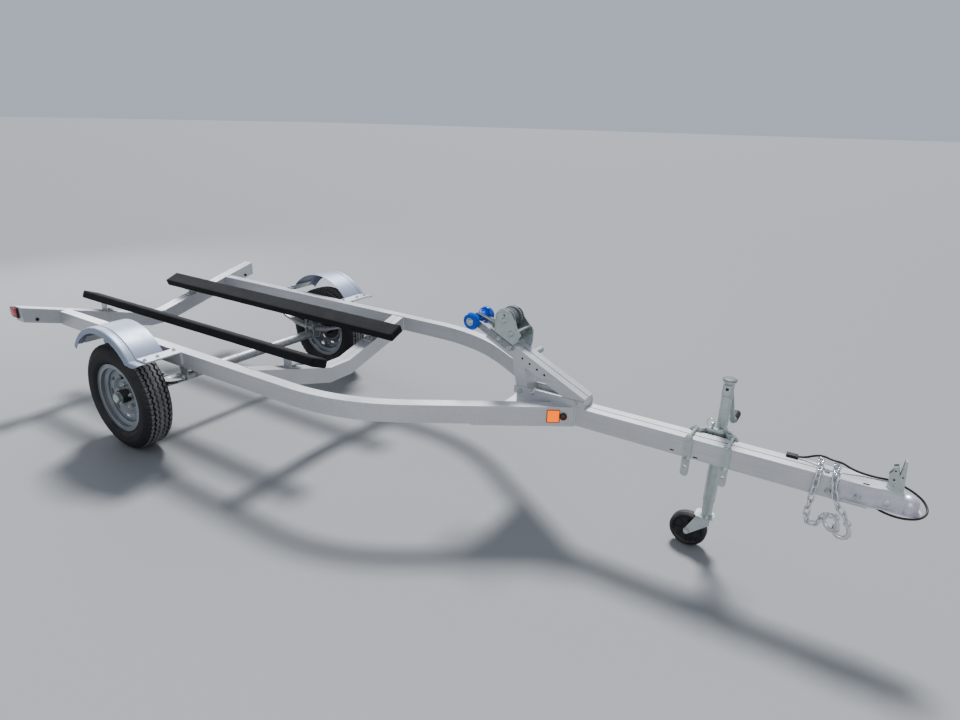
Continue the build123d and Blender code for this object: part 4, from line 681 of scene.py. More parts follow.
def makeTyre(name, side, word):
    each, columns = tyre["stepsEach"], tyreColumns()
    bm = bmesh.new()
    rings = []
    for i in range(tyre["zigzags"] * each):
        angle = 2 * pi * i / (tyre["zigzags"] * each)
        phase = i % each / each
        wave = 4 * abs(phase - 0.5) - 1
        ring = []
        for r, y, zig, kind in columns:
            if kind == "shoulder" and i % each < 2:
                r -= tyre["shoulderCut"]
            if kind == "block" and i % each == 0 and abs(y) > 0.03:
                r -= tyre["blockCut"]
            ring.append(bm.verts.new((r * cos(angle), y + zig * wave, r * sin(angle))))
        rings.append(ring)
    skin(bm, rings, closed=True)
    bmesh.ops.translate(bm, verts=bm.verts, vec=(axleX, side * tyre["centreY"], tyre["centreZ"]))
    piece = pieceOf(name, bm, "wheel_" + word, tyreRubber, 38)
    piece.data.materials.append(tyreTread)
    # faces out on the tread take the lighter grey: dust with a painted highlight
    for face in piece.data.polygons:
        if hypot(face.center.x - axleX, face.center.z - tyre["centreZ"]) > tyre["treadFrom"]:
            face.material_index = 1
    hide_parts("tyre_" + word)


makeTyre("tyreTreadLeft", 1, "left")
makeTyre("tyreTreadRight", -1, "right")
print("tyres moulded")

# wheel fastenings
wheelNuts = {"count": 5, "circle": 0.05715, "faceY": 0.675}
valve = {"circle": 0.1205, "faceY": 0.682, "radius": 0.0045, "length": 0.032, "turn": radians(22.5)}


def onWheel(side, faceY, circle, angle):
    return (axleX + circle * sin(angle), side * faceY, tyre["centreZ"] + circle * cos(angle))


for side, word in ((1, "left"), (-1, "right")):
    bm = bmesh.new()
    for i in range(wheelNuts["count"]):
        angle = 2 * pi * i / wheelNuts["count"]
        place = onWheel(side, wheelNuts["faceY"], wheelNuts["circle"], angle)
        hexBolt(bm, "wheel", place, (0, side, 0), angle)
    pieceOf("wheelNuts_" + word, bm, "wheel_" + word, zincPlate, 0)
    bm = bmesh.new()
    r, tip = valve["radius"], valve["length"]
    stem = [(r + 0.003, 0), (r + 0.002, 0.005), (r, 0.008), (r, 0.022), (r - 0.001, 0.023),
            (r - 0.0003, 0.024), (r - 0.0003, tip - 0.001), (r - 0.0015, tip)]
    spin(bm, stem, facing(onWheel(side, valve["faceY"], valve["circle"], valve["turn"]), (0, side, 0)), 20)
    pieceOf("valveStem_" + word, bm, "wheel_" + word, cordBlack, 180)
print("wheel nuts and valves fitted")

# winch post
post = {"slope": radians(25.8), "x": 1660, "z": 558 + (2092 - 1660) * tan(radians(25.8))}
postUp = Vector((sin(post["slope"]), 0, cos(post["slope"])))
postDown = Vector((cos(post["slope"]), 0, -sin(post["slope"])))


def onMast(along, above, y=0):
    # millimetres down the post's top face from its upper end, above that face and to the left
    x = post["x"] + along * cos(post["slope"]) + above * sin(post["slope"])
    return fromAxle(x, y, post["z"] - along * sin(post["slope"]) + above * cos(post["slope"]))


# winch strap
winding = {"core": 0.0168, "outer": 0.0399, "turns": 8.6, "steps": 40, "width": 0.048, "thick": 0.0022,
           "drum": (38, 64), "roller": (1580, 783), "waist": 0.021, "clear": 0.0018, "lead": 35, "wrap": 150,
           "leadSteps": 8, "spanSteps": 12, "wrapSteps": 30, "gathered": 0.0085, "aside": -0.010,
           "foldFrom": 10, "foldSteps": 9, "fold": 0.45}
drumAt, rollerAt = onMast(*winding["drum"]), fromAxle(winding["roller"][0], 0, winding["roller"][1])


def outward(angle):
    return Vector((cos(angle), 0, sin(angle)))


def around(centre, radius, angle):
    return centre + radius * outward(angle)


# where the strap's straight run leaves the drum, and where it meets the roller
big, small = winding["outer"] + winding["clear"], winding["waist"] + winding["clear"]
span = rollerAt - drumAt
leave = atan2(span.z, span.x) + acos((big + small) / span.length)
meet = leave + pi
halfThick, halfWidth = winding["thick"] / 2, winding["width"] / 2

total = int(winding["turns"] * winding["steps"])
angles = [leave - 2 * pi * winding["turns"] * (1 - i / total) for i in range(total + 1)]
growth = winding["outer"] - winding["core"] - halfThick
radii = [winding["core"] + growth * i / total for i in range(total + 1)]
bm = bmesh.new()
ribbon(bm, [around(drumAt, r, a) for r, a in zip(radii, angles)], [outward(a) for a in angles],
       [halfThick] * len(angles), [halfWidth] * len(angles))
strapRoll = pieceOf("strapWinding", bm, "winch_drum", strapWebbing, 60)
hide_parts("winch_strap_roll")

fromDrum = around(drumAt, big, leave)
toRoller = around(rollerAt, small, meet) - fromDrum
sense = 1 if toRoller.dot(Vector((-sin(leave), 0, cos(leave)))) > 0 else -1
centres, outs = [], []
for i in range(winding["leadSteps"] + 1):
    a = leave - sense * radians(winding["lead"]) * (1 - i / winding["leadSteps"])
    centres.append(around(drumAt, big, a))
    outs.append(outward(a))
for i in range(1, winding["spanSteps"]):
    centres.append(fromDrum + toRoller * i / winding["spanSteps"])
    outs.append(outward(leave))
for i in range(winding["wrapSteps"] + 1):
    a = meet + radians(winding["wrap"]) * i / winding["wrapSteps"]
    centres.append(around(rollerAt, small, a))
    outs.append(-outward(a))
# the webbing gathers toward the roller
rise = [min(1.0, max(0.0, (k - winding["foldFrom"]) / winding["foldSteps"])) for k in range(len(centres))]
folded = [t * t * (3 - 2 * t) for t in rise]
widths = [halfWidth * (1 - t) + winding["gathered"] * t for t in folded]
thicks = [halfThick * (1 + winding["fold"] * t) for t in folded]
centres = [c + Vector((0, winding["aside"] * t, 0)) for c, t in zip(centres, folded)]
bm = bmesh.new()
ribbon(bm, centres, outs, thicks, widths)
strapPiece = pieceOf("winchStrapWeb", bm, "frame", strapWebbing, 60)
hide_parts("winch_strap")

stitch = {"rows": (-0.0062, 0.0062), "radius": 0.0004, "from": 33, "share": 0.55, "sunk": 0.74}
bm = bmesh.new()
for row in stitch["rows"]:
    for k in range(stitch["from"], len(centres) - 2):
        lift = Vector((0, row, 0)) - outs[k] * thicks[k] * stitch["sunk"]
        end = centres[k].lerp(centres[k + 1], stitch["share"])
        sweepTube(bm, [centres[k] + lift, end + lift], stitch["radius"], sides=6)
pieceOf("strapStitching", bm, "frame", strapThread)
print("strap wound")

# bunks
bunk = {"length": 1.936, "front": 0.906, "width": 0.095, "thick": 0.044, "tilt": 22, "y": 0.268, "z": 0.510,
        "corner": 0.009, "stations": 230, "wave": 0.0006,
        "endInsets": ((0.0, 0.006), (0.0015, 0.0028), (0.005, 0.0)),
        "flapEdge": 0.007, "flapMiddle": 0.012, "flapLift": 0.0012}
staple = {"count": 34, "rows": (-0.02, 0.02), "fromEnd": 0.03, "halfLength": 0.006, "halfWire": 0.0006,
          "proud": 0.0009, "sunk": 0.0003}


def roundedOutline(width, height, corner, inset, perSide=7):
    # points of a rounded rectangle made smaller by inset
    a, b = width / 2 - inset, height / 2 - inset
    r = max(corner - inset, 0.001)
    points = []
    for quarter, (cx, cy) in enumerate(((a - r, b - r), (r - a, b - r), (r - a, r - b), (a - r, r - b))):
        for i in range(6):
            angle = pi / 2 * (quarter + i / 5)
            points.append((cx + r * cos(angle), cy + r * sin(angle)))
        nextX, nextY = ((r - a, b), (-a, r - b), (a - r, -b), (a, b - r))[quarter]
        lastX, lastY = points[-1]
        for k in range(1, perSide):
            points.append((lastX + (nextX - lastX) * k / perSide, lastY + (nextY - lastY) * k / perSide))
    return points


def foldFlap(bm, place, end, across):
    # a folded corner of the carpet on one end of the board
    edge, mid = across * (bunk["width"] / 2 - bunk["flapEdge"]), across * bunk["flapMiddle"]
    flap = [(edge, 0.0165), (edge, -0.0165), (mid, -0.0125), (mid * 0.4, 0.0), (mid, 0.0125)]
    half, lift = bunk["length"] / 2, bunk["flapLift"]
    back = [bm.verts.new(place @ Vector((end * (half - lift), y, z))) for y, z in flap]
    face = [bm.verts.new(place @ Vector((end * (half + lift), y * 0.97, z * 0.95))) for y, z in flap]
    bm.faces.new(face)
    for k in range(len(flap)):
        m = (k + 1) % len(flap)
        bm.faces.new([back[k], back[m], face[m], face[k]])


def makeBunk(name, side, word):
    place = Matrix.Translation((axleX + bunk["front"] - bunk["length"] / 2, side * bunk["y"], bunk["z"]))
    place = place @ Matrix.Rotation(radians(side * bunk["tilt"]), 4, "X")
    half = bunk["length"] / 2
    step = (bunk["length"] - 0.02) / bunk["stations"]
    stations = [(-half + depth, inset) for depth, inset in bunk["endInsets"]]
    stations += [(-half + 0.01 + i * step, 0.0) for i in range(bunk["stations"] + 1)]
    stations += [(half - depth, inset) for depth, inset in reversed(bunk["endInsets"])]
    bm = bmesh.new()
    rings = []
    for x, inset in stations:
        ring = []
        for y, z in roundedOutline(bunk["width"], bunk["thick"], bunk["corner"], inset):
            lift = bunk["wave"] * (noise.noise(Vector((x * 16, y * 30, z * 30 + side * 7))) - 0.6)
            size = 1 + lift / 0.03
            ring.append(bm.verts.new(place @ Vector((x, y * size, z * size))))
        rings.append(ring)
    skin(bm, rings)
    for end in (-1, 1):
        for across in (-1, 1):
            foldFlap(bm, place, end, across)
    piece = pieceOf(name, bm, "frame", bunkCarpet, 50)
    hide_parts("bunk_" + word)
    bm = bmesh.new()
    low = -bunk["thick"] / 2 + staple["sunk"]
    between = (bunk["length"] - 2 * staple["fromEnd"]) / (staple["count"] - 1)
    reach, wire = staple["halfLength"], staple["halfWire"]
    for row in staple["rows"]:
        for i in range(staple["count"]):
            x = -half + staple["fromEnd"] + i * between
            under = (x - reach, row - wire, low - staple["proud"])
            slab(bm, under, (x + reach, row + wire, low), 0.0002, place, 1)
    pieceOf(name + "Staples", bm, "frame", zincPlate)


makeBunk("bunkCarpetLeft", 1, "left")
makeBunk("bunkCarpetRight", -1, "right")
print("bunks covered")

# safety chains
link = {"length": 0.040, "width": 0.024, "wire": 0.0065, "steps": 9, "sides": 10, "seam": 0.0006,
        "first": Vector((0, 0.1017, 0.9948))}
hook = {"scale": 0.00082, "flat": 0.68, "sides": 12, "eye": 0.0082, "eyeWire": 0.0038, "low": -13, "high": 24,
        "line": [(7, 1, 7), (20, 7, 8), (34, 12, 8.5), (50, 12, 10), (61, 6, 10), (68, -6, 9), (67, -21, 9.5),
                 (59, -33, 8.5), (46, -41, 7), (30, -44, 5.5), (17, -42.5, 3.5)]}
chainBolt = [(0.0105, 0.0), (0.0105, 0.0015), (0.0045, 0.0018), (0.0045, 0.0222), (0.0085, 0.0224),
             (0.0085, 0.0236), (0.0066, 0.0238), (0.0060, 0.0258), (0.0035, 0.0270), (0.0, 0.0272)]
chainEnds = {"safety_chain_rear": (2905, Vector((1, 1, 0))), "safety_chain_front": (2955, Vector((-1, 1, 0)))}
chainFoot = {"bolt": (48, 466), "firstLink": (51.2, 475.8), "washer": (38.3, 467)}  # y and z


def islandsOf(piece):
    # points of each separate solid of a node
    keys = [tuple(round(c, 5) for c in piece.matrix_world @ vertex.co) for vertex in piece.data.vertices]
    parent = {key: key for key in keys}

    def root(key):
        while parent[key] != key:
            parent[key] = parent[parent[key]]
            key = parent[key]
        return key

    for face in piece.data.polygons:
        first = root(keys[face.vertices[0]])
        for index in face.vertices:
            parent[root(keys[index])] = first
    groups = {}
    for key in parent:
        groups.setdefault(root(key), []).append(key)
    return [numpy.array(group) for group in groups.values()]


def mainAxes(points):
    # centre and the long, middle and short directions
    vectors = numpy.linalg.eigh(numpy.cov((points - points.mean(axis=0)).T))[1]
    return Vector(points.mean(axis=0)), [Vector(vectors[:, k]).normalized() for k in (2, 1, 0)]


def addLink(bm, centre, along, width):
    reach, bend = (link["length"] - link["width"]) / 2, (link["width"] - link["wire"]) / 2
    points, radii = [], []
    for sign in (1, -1):
        for i in range(link["steps"] + 1):
            a = -pi / 2 + pi * i / link["steps"]
            points.append(centre + sign * (along * (reach + bend * cos(a)) + width * bend * sin(a)))
            radii.append(link["wire"] / 2)
        if sign > 0:  # welded seam on one side
            for t in (0.36, 0.44, 0.5, 0.56, 0.64):
                points.append(centre + along * reach * (1 - 2 * t) + width * bend)
                radii.append(link["wire"] / 2 + link["seam"] * (1 - abs(t - 0.5) * 7))
    sweepTube(bm, points, radii, link["sides"], closed=True, across=along.cross(width))


def addHook(bm, points, normal):
    # laid in the plane of the CAD's hook, from its highest and outermost points
    normal = normal if normal.y < 0 else -normal
    xAxis = Vector((0, 0, -1))
    xAxis = (xAxis - normal * xAxis.dot(normal)).normalized()
    yAxis = normal.cross(xAxis)
    coords = numpy.array([[Vector(p).dot(axis) for axis in (xAxis, yAxis, normal)] for p in points])
    s = hook["scale"]
    x0, y0 = coords[:, 0].min() - hook["low"] * s, coords[:, 1].max() - hook["high"] * s
    z0 = (coords[:, 2].min() + coords[:, 2].max()) / 2
    eye = xAxis * x0 + yAxis * y0 + normal * z0
    line = [eye + xAxis * (x * s) + yAxis * (y * s) for x, y, r in hook["line"]]
    sweepTube(bm, line, [r * s for x, y, r in hook["line"]], hook["sides"], flat=hook["flat"], across=normal)
    ring = loopOf(eye, xAxis * hook["eye"], yAxis * hook["eye"], 24)
    sweepTube(bm, ring, hook["eyeWire"], hook["sides"], closed=True, across=normal)


for node, (x, width) in chainEnds.items():
    bm = bmesh.new()
    groups = islandsOf(cadNodes[node])
    boltAt = fromAxle(x, *chainFoot["bolt"])
    bolted = min(groups, key=lambda group: (Vector(group.mean(axis=0)) - boltAt).length)
    addLink(bm, fromAxle(x, *chainFoot["firstLink"]), link["first"], width.normalized())
    for group in groups:
        if group is bolted:
            continue
        centre, (along, width, normal) = mainAxes(group)
        if numpy.ptp(group @ numpy.array(along)) > 1.2 * link["length"]:
            addHook(bm, group, normal)
        else:
            addLink(bm, centre, along, width)
    spin(bm, chainBolt, facing(fromAxle(x, *chainFoot["washer"]), left), 24)
    piece = pieceOf(node + "_links", bm, "frame", chainZinc, 50)
    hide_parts(node)
print("chains linked")

# tail lamps
lamp = {"memberX": -876, "memberSlope": radians(15.5), "shell": 0.008, "cheek": 0.0066, "inset": 0.004,
        "split": 0.0006, "lensDeep": 0.014, "lensFoot": 0.005, "lensHead": 0.004, "eye": 0.0145,
        "eyeWire": 0.0013, "sideLens": 0.0022, "screw": 0.0036, "screwHigh": 0.0018, "strip": 0.012}


def slopeWithMember(bm, outerY):
    # lowers each lamp inward as the member behind it does
    for vert in bm.verts:
        vert.co.z -= (abs(outerY) - abs(vert.co.y)) * tan(lamp["memberSlope"])


def makeLamp(word, side):
    low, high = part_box("tail_lamp_" + word)
    memberEnd = fromAxle(lamp["memberX"], 0, 0).x
    nearY, farY = (low.y, high.y) if side > 0 else (high.y, low.y)
    bm = bmesh.new()
    slab(bm, (low.x + lamp["shell"], low.y, low.z), (memberEnd - 0.0005, high.y, high.z), 0.004)
    cheekLow, cheekHigh = sorted((farY - side * lamp["cheek"], farY))
    slab(bm, (low.x + lamp["shell"], cheekLow, low.z), (high.x, cheekHigh, high.z), 0.002)
    slopeWithMember(bm, farY)
    housing = pieceOf("lampHousing_" + word, bm, "frame", lampBlack)

    bm = bmesh.new()
    first, last = sorted((nearY + side * lamp["inset"], farY - side * lamp["inset"]))
    middle = (first + last) / 2
    foot, head = low.z + lamp["lensFoot"], high.z - lamp["lensHead"]
    for a, b in ((first, middle - lamp["split"]), (middle + lamp["split"], last)):
        slab(bm, (low.x, a, foot), (low.x + lamp["lensDeep"], b, head), 0.003, segments=3)
    for share in (0.25, 0.75):
        eye = Vector((low.x + 0.0005, first + (last - first) * share, (low.z + high.z) / 2))
        ring = loopOf(eye, Vector((0, lamp["eye"], 0)), Vector((0, 0, lamp["eye"])), 32)
        sweepTube(bm, ring, lamp["eyeWire"], 8, closed=True, across=front)
    lensLow, lensHigh = sorted((farY - side * 0.001, farY + side * lamp["sideLens"]))
    slab(bm, (low.x + 0.002, lensLow, low.z + 0.007), (high.x - 0.003, lensHigh, high.z - 0.003), 0.001)
    slopeWithMember(bm, farY)
    pieceOf("lampLens_" + word, bm, "frame", redLens)

    bm = bmesh.new()
    for y in (first + 0.008, last - 0.008):
        for z in (low.z + 0.012, high.z - 0.011):
            domeHead(bm, (low.x + 0.0006, y, z), (-1, 0, 0), lamp["screw"], lamp["screwHigh"])
    strip = lamp["strip"]
    slab(bm, (memberEnd - 0.002, low.y + strip, low.z),
         (memberEnd + strip, high.y - strip, low.z + 0.003), 0.001)
    slopeWithMember(bm, farY)
    pieceOf("lampScrews_" + word, bm, "frame", zincPlate)
    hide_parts("tail_lamp_" + word)


makeLamp("left", 1)
makeLamp("right", -1)
print("tail lamps fitted")

# side markers and reflector frames
sideLamp = {"bend": (1281, 553), "angle": radians(33.6), "z": 477.9, "reflector": 847, "marker": 886,
            "halfWide": 0.0245, "halfHigh": 0.026, "rim": 0.0014, "lens": 0.0105, "near": 0.016}
markerRim = [(0.0105, 0), (0.0142, 0), (0.0142, 0.0085), (0.0132, 0.0095), (0.0105, 0.0095)]
markerDome = [(sideLamp["lens"], 0.0082)]
for i in range(6):
    markerDome.append((sideLamp["lens"] * cos(i * pi / 12), 0.0084 + 0.003 * sin(i * pi / 12)))
markerDome.append((0.0, 0.0114))


def onRail(side, along, lift):
    # along the outer face of the rail's front run, from its bend
    out = Vector((sin(sideLamp["angle"]), side * cos(sideLamp["angle"]), 0))
    ahead = Vector((cos(sideLamp["angle"]), -side * sin(sideLamp["angle"]), 0))
    base = fromAxle(sideLamp["bend"][0], side * sideLamp["bend"][1], sideLamp["z"])
    return base + ahead * along / 1000 + out * lift, out, ahead


bmFrames, bmLens, markerPlaces = bmesh.new(), bmesh.new(), []
for side in (1, -1):
    centre, out, ahead = onRail(side, sideLamp["reflector"], 0.0028)
    wide, high = sideLamp["halfWide"], sideLamp["halfHigh"]
    for a, b in ((-1, 1), (1, 1), (1, -1), (-1, -1)):
        one = centre + ahead * a * wide + Vector((0, 0, b * high))
        two = centre + ahead * (b * wide) + Vector((0, 0, -a * high))
        sweepTube(bmFrames, [one, two], sideLamp["rim"], 8)
    markerAt = onRail(side, sideLamp["marker"], 0.0)[0]
    spin(bmFrames, markerRim, facing(markerAt, out), 36, closed=True)
    spin(bmLens, markerDome, facing(markerAt, out), 36)
    markerPlaces.append(markerAt)
pieceOf("sideLampRims", bmFrames, "frame", lampBlack)
pieceOf("sideMarkerLenses", bmLens, "frame", markerLens)
lights = cadNodes["side_lights"]
lights.data.materials.append(lampBlack)
for face in lights.data.polygons:
    where = lights.matrix_world @ face.center
    if min((where - place).length for place in markerPlaces) < sideLamp["near"]:
        face.material_index = 1
print("side lights framed")

# bolts of the frame: x, y, z, axis, both sides, kind
frameBolts = [
    (1813.8, 43.4, 529, left, True, "medium"), (1868, 43.4, 534, left, True, "medium"),
    (2056.4, 43.4, 536, left, True, "medium"), (277, 712, 516, up, True, "small"),
    (274, 650, 516, up, True, "small"), (252, 556, 516, up, True, "small"),
    (2931.6, -11.8, 516, up, False, "small"), (2946.6, -38.1, 463, right, False, "medium"),
    (3028, 42.4, 474.3, left, True, "medium"),
]
for x in (2497, 2628):
    frameBolts += [(x, -44.1, z, right, False, "large") for z in (522.3, 433.5)]
    frameBolts += [(x, 43.1, z, left, False, "low") for z in (522.3, 433.5)]
for memberX, slope, foot in ((-838, 15.5, 450.5), (723, 16.0, 453.8)):
    tilt = (0, -sin(radians(slope)), cos(radians(slope)))
    frameBolts += [(memberX + shift, 266, foot, tilt, True, "small") for shift in (-14, 14)]
bm = bmesh.new()
for x, y, z, axis, both, kind in frameBolts:
    for side in (1, -1) if both else (1,):
        hexBolt(bm, kind, fromAxle(x, side * y, z), (axis[0], side * axis[1], axis[2]), x * 0.37)
postBolt = {"places": ((112, -19), (56, -12)), "y": 43.4,
            "winchFeet": (14, 104), "footY": (-18, 18), "plate": 4}
for along, above in postBolt["places"]:
    domeHead(bm, onMast(along, above, postBolt["y"]), left, 0.0095, 0.003)
    hexBolt(bm, "medium", onMast(along, above, -postBolt["y"]), right, along)
for along in postBolt["winchFeet"]:
    for y in postBolt["footY"]:
        hexBolt(bm, "small", onMast(along, postBolt["plate"], y), postUp, along + y)
springBolt = {"ahead": (310, -310), "inset": 0.0065, "z": 0.398}
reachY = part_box("spring_hangers")[1].y - springBolt["inset"]
for x in springBolt["ahead"]:
    for side in (1, -1):
        hexBolt(bm, "spring", (axleX + x / 1000, side * reachY, springBolt["z"]), (0, side, 0))
pieceOf("frameBolts", bm, "frame", zincPlate, 30)
bm = bmesh.new()
for side in (1, -1):
    hexBolt(bm, "small", fromAxle(-799.8, side * 668, 497), front, 0.4)
pieceOf("blackBolts", bm, "frame", lampBlack, 30)

# painted shade: flat black patches where punched and drain slots are, standing in for the shade inside them:
# x, y, z, length, width, axis
slotShadePatches = [(2443, -38.2, 454, 15, 4.5, left), (2527, -38.2, 449, 15, 4.5, left),
             (3043.2, -31.3, 520.5, 18, 6.5, up)]
bm = bmesh.new()
for x, y, z, length, width, axis in slotShadePatches:
    at, half = fromAxle(x, y, z), width / 2000
    reach = Vector((length / 2000, half, 0.0004) if axis == up else (length / 2000, 0.0004, half))
    slab(bm, at - reach, at + reach, 0.0003, segments=1)
pieceOf("punchedSlotShade", bm, "frame", slotShadeBlack)

# painted shade: dark strips laid in the grooves of the tongue and the post, where the grooves fall in shade
groove = {"half": 0.0021, "depth": 0.0016, "fill": 0.00175, "tongue": (2098, 2990, 516),
          "post": (0.150, 0.478)}
tongueFrom, tongueTo, tongueTop = groove["tongue"]
lowest = Vector((0, -groove["half"], -groove["depth"]))
highest = Vector((0, groove["half"], groove["fill"] - groove["depth"]))
bm = bmesh.new()
slab(bm, fromAxle(tongueFrom, 0, tongueTop) + lowest, fromAxle(tongueTo, 0, tongueTop) + highest, 0.0001,
     segments=1)
alongPost = Matrix.Translation(onMast(0, 0)) @ Matrix((postDown, left, postUp)).transposed().to_4x4()
postFrom, postTo = groove["post"]
slab(bm, (postFrom, lowest.y, lowest.z), (postTo, highest.y, highest.z), 0.0001, alongPost, 1)
pieceOf("grooveShadeStrips", bm, "frame", paintedGrooveShade)

# welds on both sides: y, then each end's x and z
sideWelds = [
    (38.8, (2058, 442), (2058, 515)), (38.8, (1966, 516.5), (2056, 516.5)),
    (38.8, (1966, 439.6), (2056, 439.6)), (501.9, (686, 516.4), (760, 516.4)),
    (501.9, (684.8, 450), (684.8, 515)), (501.9, (761.4, 450), (761.4, 515)),
    (36, (1798, 521.5), (1845, 521.5)),
]
footWelds = {"x": (1794.5, 1847.5), "halfY": 36, "z": 521.5}
bm = bmesh.new()
for side in (1, -1):
    for y, (x0, z0), (x1, z1) in sideWelds:
        weldBead(bm, fromAxle(x0, side * y, z0), fromAxle(x1, side * y, z1))
for x in footWelds["x"]:
    y, z = footWelds["halfY"], footWelds["z"]
    weldBead(bm, fromAxle(x, -y, z), fromAxle(x, y, z))
pieceOf("weldBeads", bm, "frame", weldAluminium)
print("bolts and welds placed")

# rail end caps
endCap = {"railWidth": 0.0508, "inset": 0.0012, "thick": 0.004, "gap": 0.0002}
bm = bmesh.new()
for word in ("left", "right"):
    low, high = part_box("rail_" + word)
    y0 = high.y - endCap["railWidth"] if word == "left" else low.y
    y1 = high.y if word == "left" else low.y + endCap["railWidth"]
    inset = endCap["inset"]
    slab(bm, (low.x - endCap["thick"], y0 + inset, low.z + inset),
         (low.x - endCap["gap"], y1 - inset, high.z - inset), 0.0015)
pieceOf("railEndCaps", bm, "frame", hubBlack)


# winch details
def gripOutline(grip):
    # a moulded handle with rings
    count = grip["rings"] * 4
    outline = list(grip["foot"])
    for i in range(count + 1):
        swell = grip["rise"] * (0.5 - 0.5 * cos(pi * i / 2))
        outline.append((grip["radius"] + swell, grip["from"] + grip["ringed"] * i / count))
    return outline + grip["end"]


winchSide = {"plate": 44.3, "crankFromDrum": 60, "crankAngle": radians(-28), "crankNut": 0.0586,
             "arm": 0.117, "armAngle": radians(-66), "gripStart": 0.0595,
             "ridge": [(24, 12), (12, 38), (0, 64), (4, 84), (20, 100), (44, 106), (70, 98), (98, 76),
                       (126, 54), (124, 26), (116, 8)],
             "pawl": [(112, 62), (124, 66), (137, 60), (146, 48)],
             "ridgeY": -44.4, "pawlY": 45.6, "pivotY": 46.4}
winchGrip = {"radius": 0.0124, "rise": 0.0011, "rings": 9, "from": 0.005, "ringed": 0.071,
             "foot": [(0.0144, 0.0), (0.0144, 0.003)], "end": [(0.0134, 0.079), (0.0094, 0.083)]}
meshAngle, apart = winchSide["crankAngle"], winchSide["crankFromDrum"]
crankAt = onMast(winding["drum"][0] + apart * cos(meshAngle), winding["drum"][1] + apart * sin(meshAngle))
for body, at in (("winch_drum", drumAt), ("winch_crank", crankAt)):
    bm = bmesh.new()
    hexBolt(bm, "winchShaft", at + Vector((0, -winchSide["plate"] / 1000, 0)), right)
    pieceOf(body + "_nut", bm, body, zincPlate, 30)
bm = bmesh.new()
ridge = [onMast(a, b, winchSide["ridgeY"]) for a, b in winchSide["ridge"]]
sweepTube(bm, ridge, 0.0030, 8, flat=0.6, across=left)
pawl = [onMast(a, b, winchSide["pawlY"]) for a, b in winchSide["pawl"]]
sweepTube(bm, pawl, [0.0075, 0.0065, 0.005, 0.0028], 10, flat=0.2, across=left)
domeHead(bm, onMast(*winchSide["pawl"][0], winchSide["pivotY"]), left, 0.0062, 0.0014)
hexBolt(bm, "pawl", onMast(*winchSide["pawl"][0], -winchSide["pivotY"]), right)
pieceOf("winchTrim", bm, "frame", zincPlate, 35)
gripAt = crankAt + winchSide["arm"] * outward(winchSide["armAngle"])
bm = bmesh.new()
spin(bm, gripOutline(winchGrip), facing(gripAt + Vector((0, winchSide["gripStart"], 0)), left), 32)
pieceOf("winchGrip", bm, "winch_crank", gripGrey, 60)
bm = bmesh.new()
hexBolt(bm, "winchCrank", crankAt + Vector((0, winchSide["crankNut"], 0)), left)
pieceOf("winchCrankNut", bm, "winch_crank", zincPlate, 30)

# bow roller nuts
rollerNut = {"y": 71.4, "washer": [(0.0165, 0.0), (0.0165, 0.0012), (0.0158, 0.0018)]}
bm = bmesh.new()
for side in (1, -1):
    at = rollerAt + Vector((0, side * rollerNut["y"] / 1000, 0))
    spin(bm, rollerNut["washer"], facing(at, (0, side, 0)), 36)
    hexBolt(bm, "roller", at + Vector((0, side * rollerNut["washer"][-1][1], 0)), (0, side, 0))
pieceOf("rollerNuts", bm, "frame", zincPlate, 30)
print("winch dressed")

# jack details
jack = {"x": 2575, "y": 100, "top": 713, "collarZ": 522.3, "shaftZ": 679, "armY": 135.8, "arm": 0.135,
        "nutOut": 6, "gripOut": 14.3, "lean": radians(11.6),
        "cover": ((2559, 76.5, 655), (2591, 84, 700)), "coverRivets": ((2564, 2586), 76.6, (661, 694)),
        "pinAt": (2549, 66, 528), "ringAt": (2542, 66, 548), "ringHalf": (0.014, 0.017), "ringWire": 0.0015,
        "holeAt": (2575, 76.4, 684),
        "cap": [(0.0246, 0.0), (0.0252, 0.0012), (0.0250, 0.0030), (0.0225, 0.0052), (0.0140, 0.0066),
                (0.0, 0.0070)],
        "collar": [(0.0188, -0.004), (0.0228, -0.004), (0.0228, -0.0005), (0.0205, 0.003), (0.0188, 0.0042)],
        "pin": [(0.0042, 0.0), (0.0042, 0.020), (0.0065, 0.021), (0.0065, 0.024), (0.0, 0.026)],
        "hole": [(0.0058, 0.0), (0.0052, 0.0006)]}
jackGrip = {"radius": 0.0134, "rise": 0.0010, "rings": 7, "from": 0.003, "ringed": 0.054,
            "foot": [(0.0142, 0.0)], "end": [(0.0138, 0.0595), (0.0115, 0.0630), (0.0, 0.0635)]}
bm = bmesh.new()
spin(bm, jack["cap"], facing(fromAxle(jack["x"], jack["y"], jack["top"]), up), 48)
pieceOf("jackCap", bm, "jack", capGrey, 35)
bm = bmesh.new()
spin(bm, jack["collar"], facing(fromAxle(jack["x"], jack["y"], jack["collarZ"]), up), 40, closed=True)
slab(bm, fromAxle(*jack["cover"][0]), fromAxle(*jack["cover"][1]), 0.005, segments=3)
rivetX, rivetY, rivetZ = jack["coverRivets"]
for z in rivetZ:
    for x in rivetX:
        domeHead(bm, fromAxle(x, rivetY, z), right, 0.003, 0.0015)
wide, high = jack["ringHalf"]
pullRing = loopOf(fromAxle(*jack["ringAt"]), Vector((wide, 0, 0)), Vector((0, 0, high)), 28)
sweepTube(bm, pullRing, jack["ringWire"], 8, closed=True, across=left)
spin(bm, jack["pin"], facing(fromAxle(*jack["pinAt"]), up), 18)
pieceOf("jackTrim", bm, "jack", zincPlate, 35)
# painted shade: a black disc stands in for the shade inside a hole in the jack
bm = bmesh.new()
spin(bm, jack["hole"], facing(fromAxle(*jack["holeAt"]), right), 24)
pieceOf("jackHoleShade", bm, "jack", hubBlack)
bm = bmesh.new()
hexBolt(bm, "jackShaft", fromAxle(jack["x"], jack["armY"] + jack["nutOut"], jack["shaftZ"]), left)
pieceOf("jackCrankNut", bm, "jack", zincPlate, 30)
armDown = jack["arm"] * Vector((sin(jack["lean"]), 0, -cos(jack["lean"])))
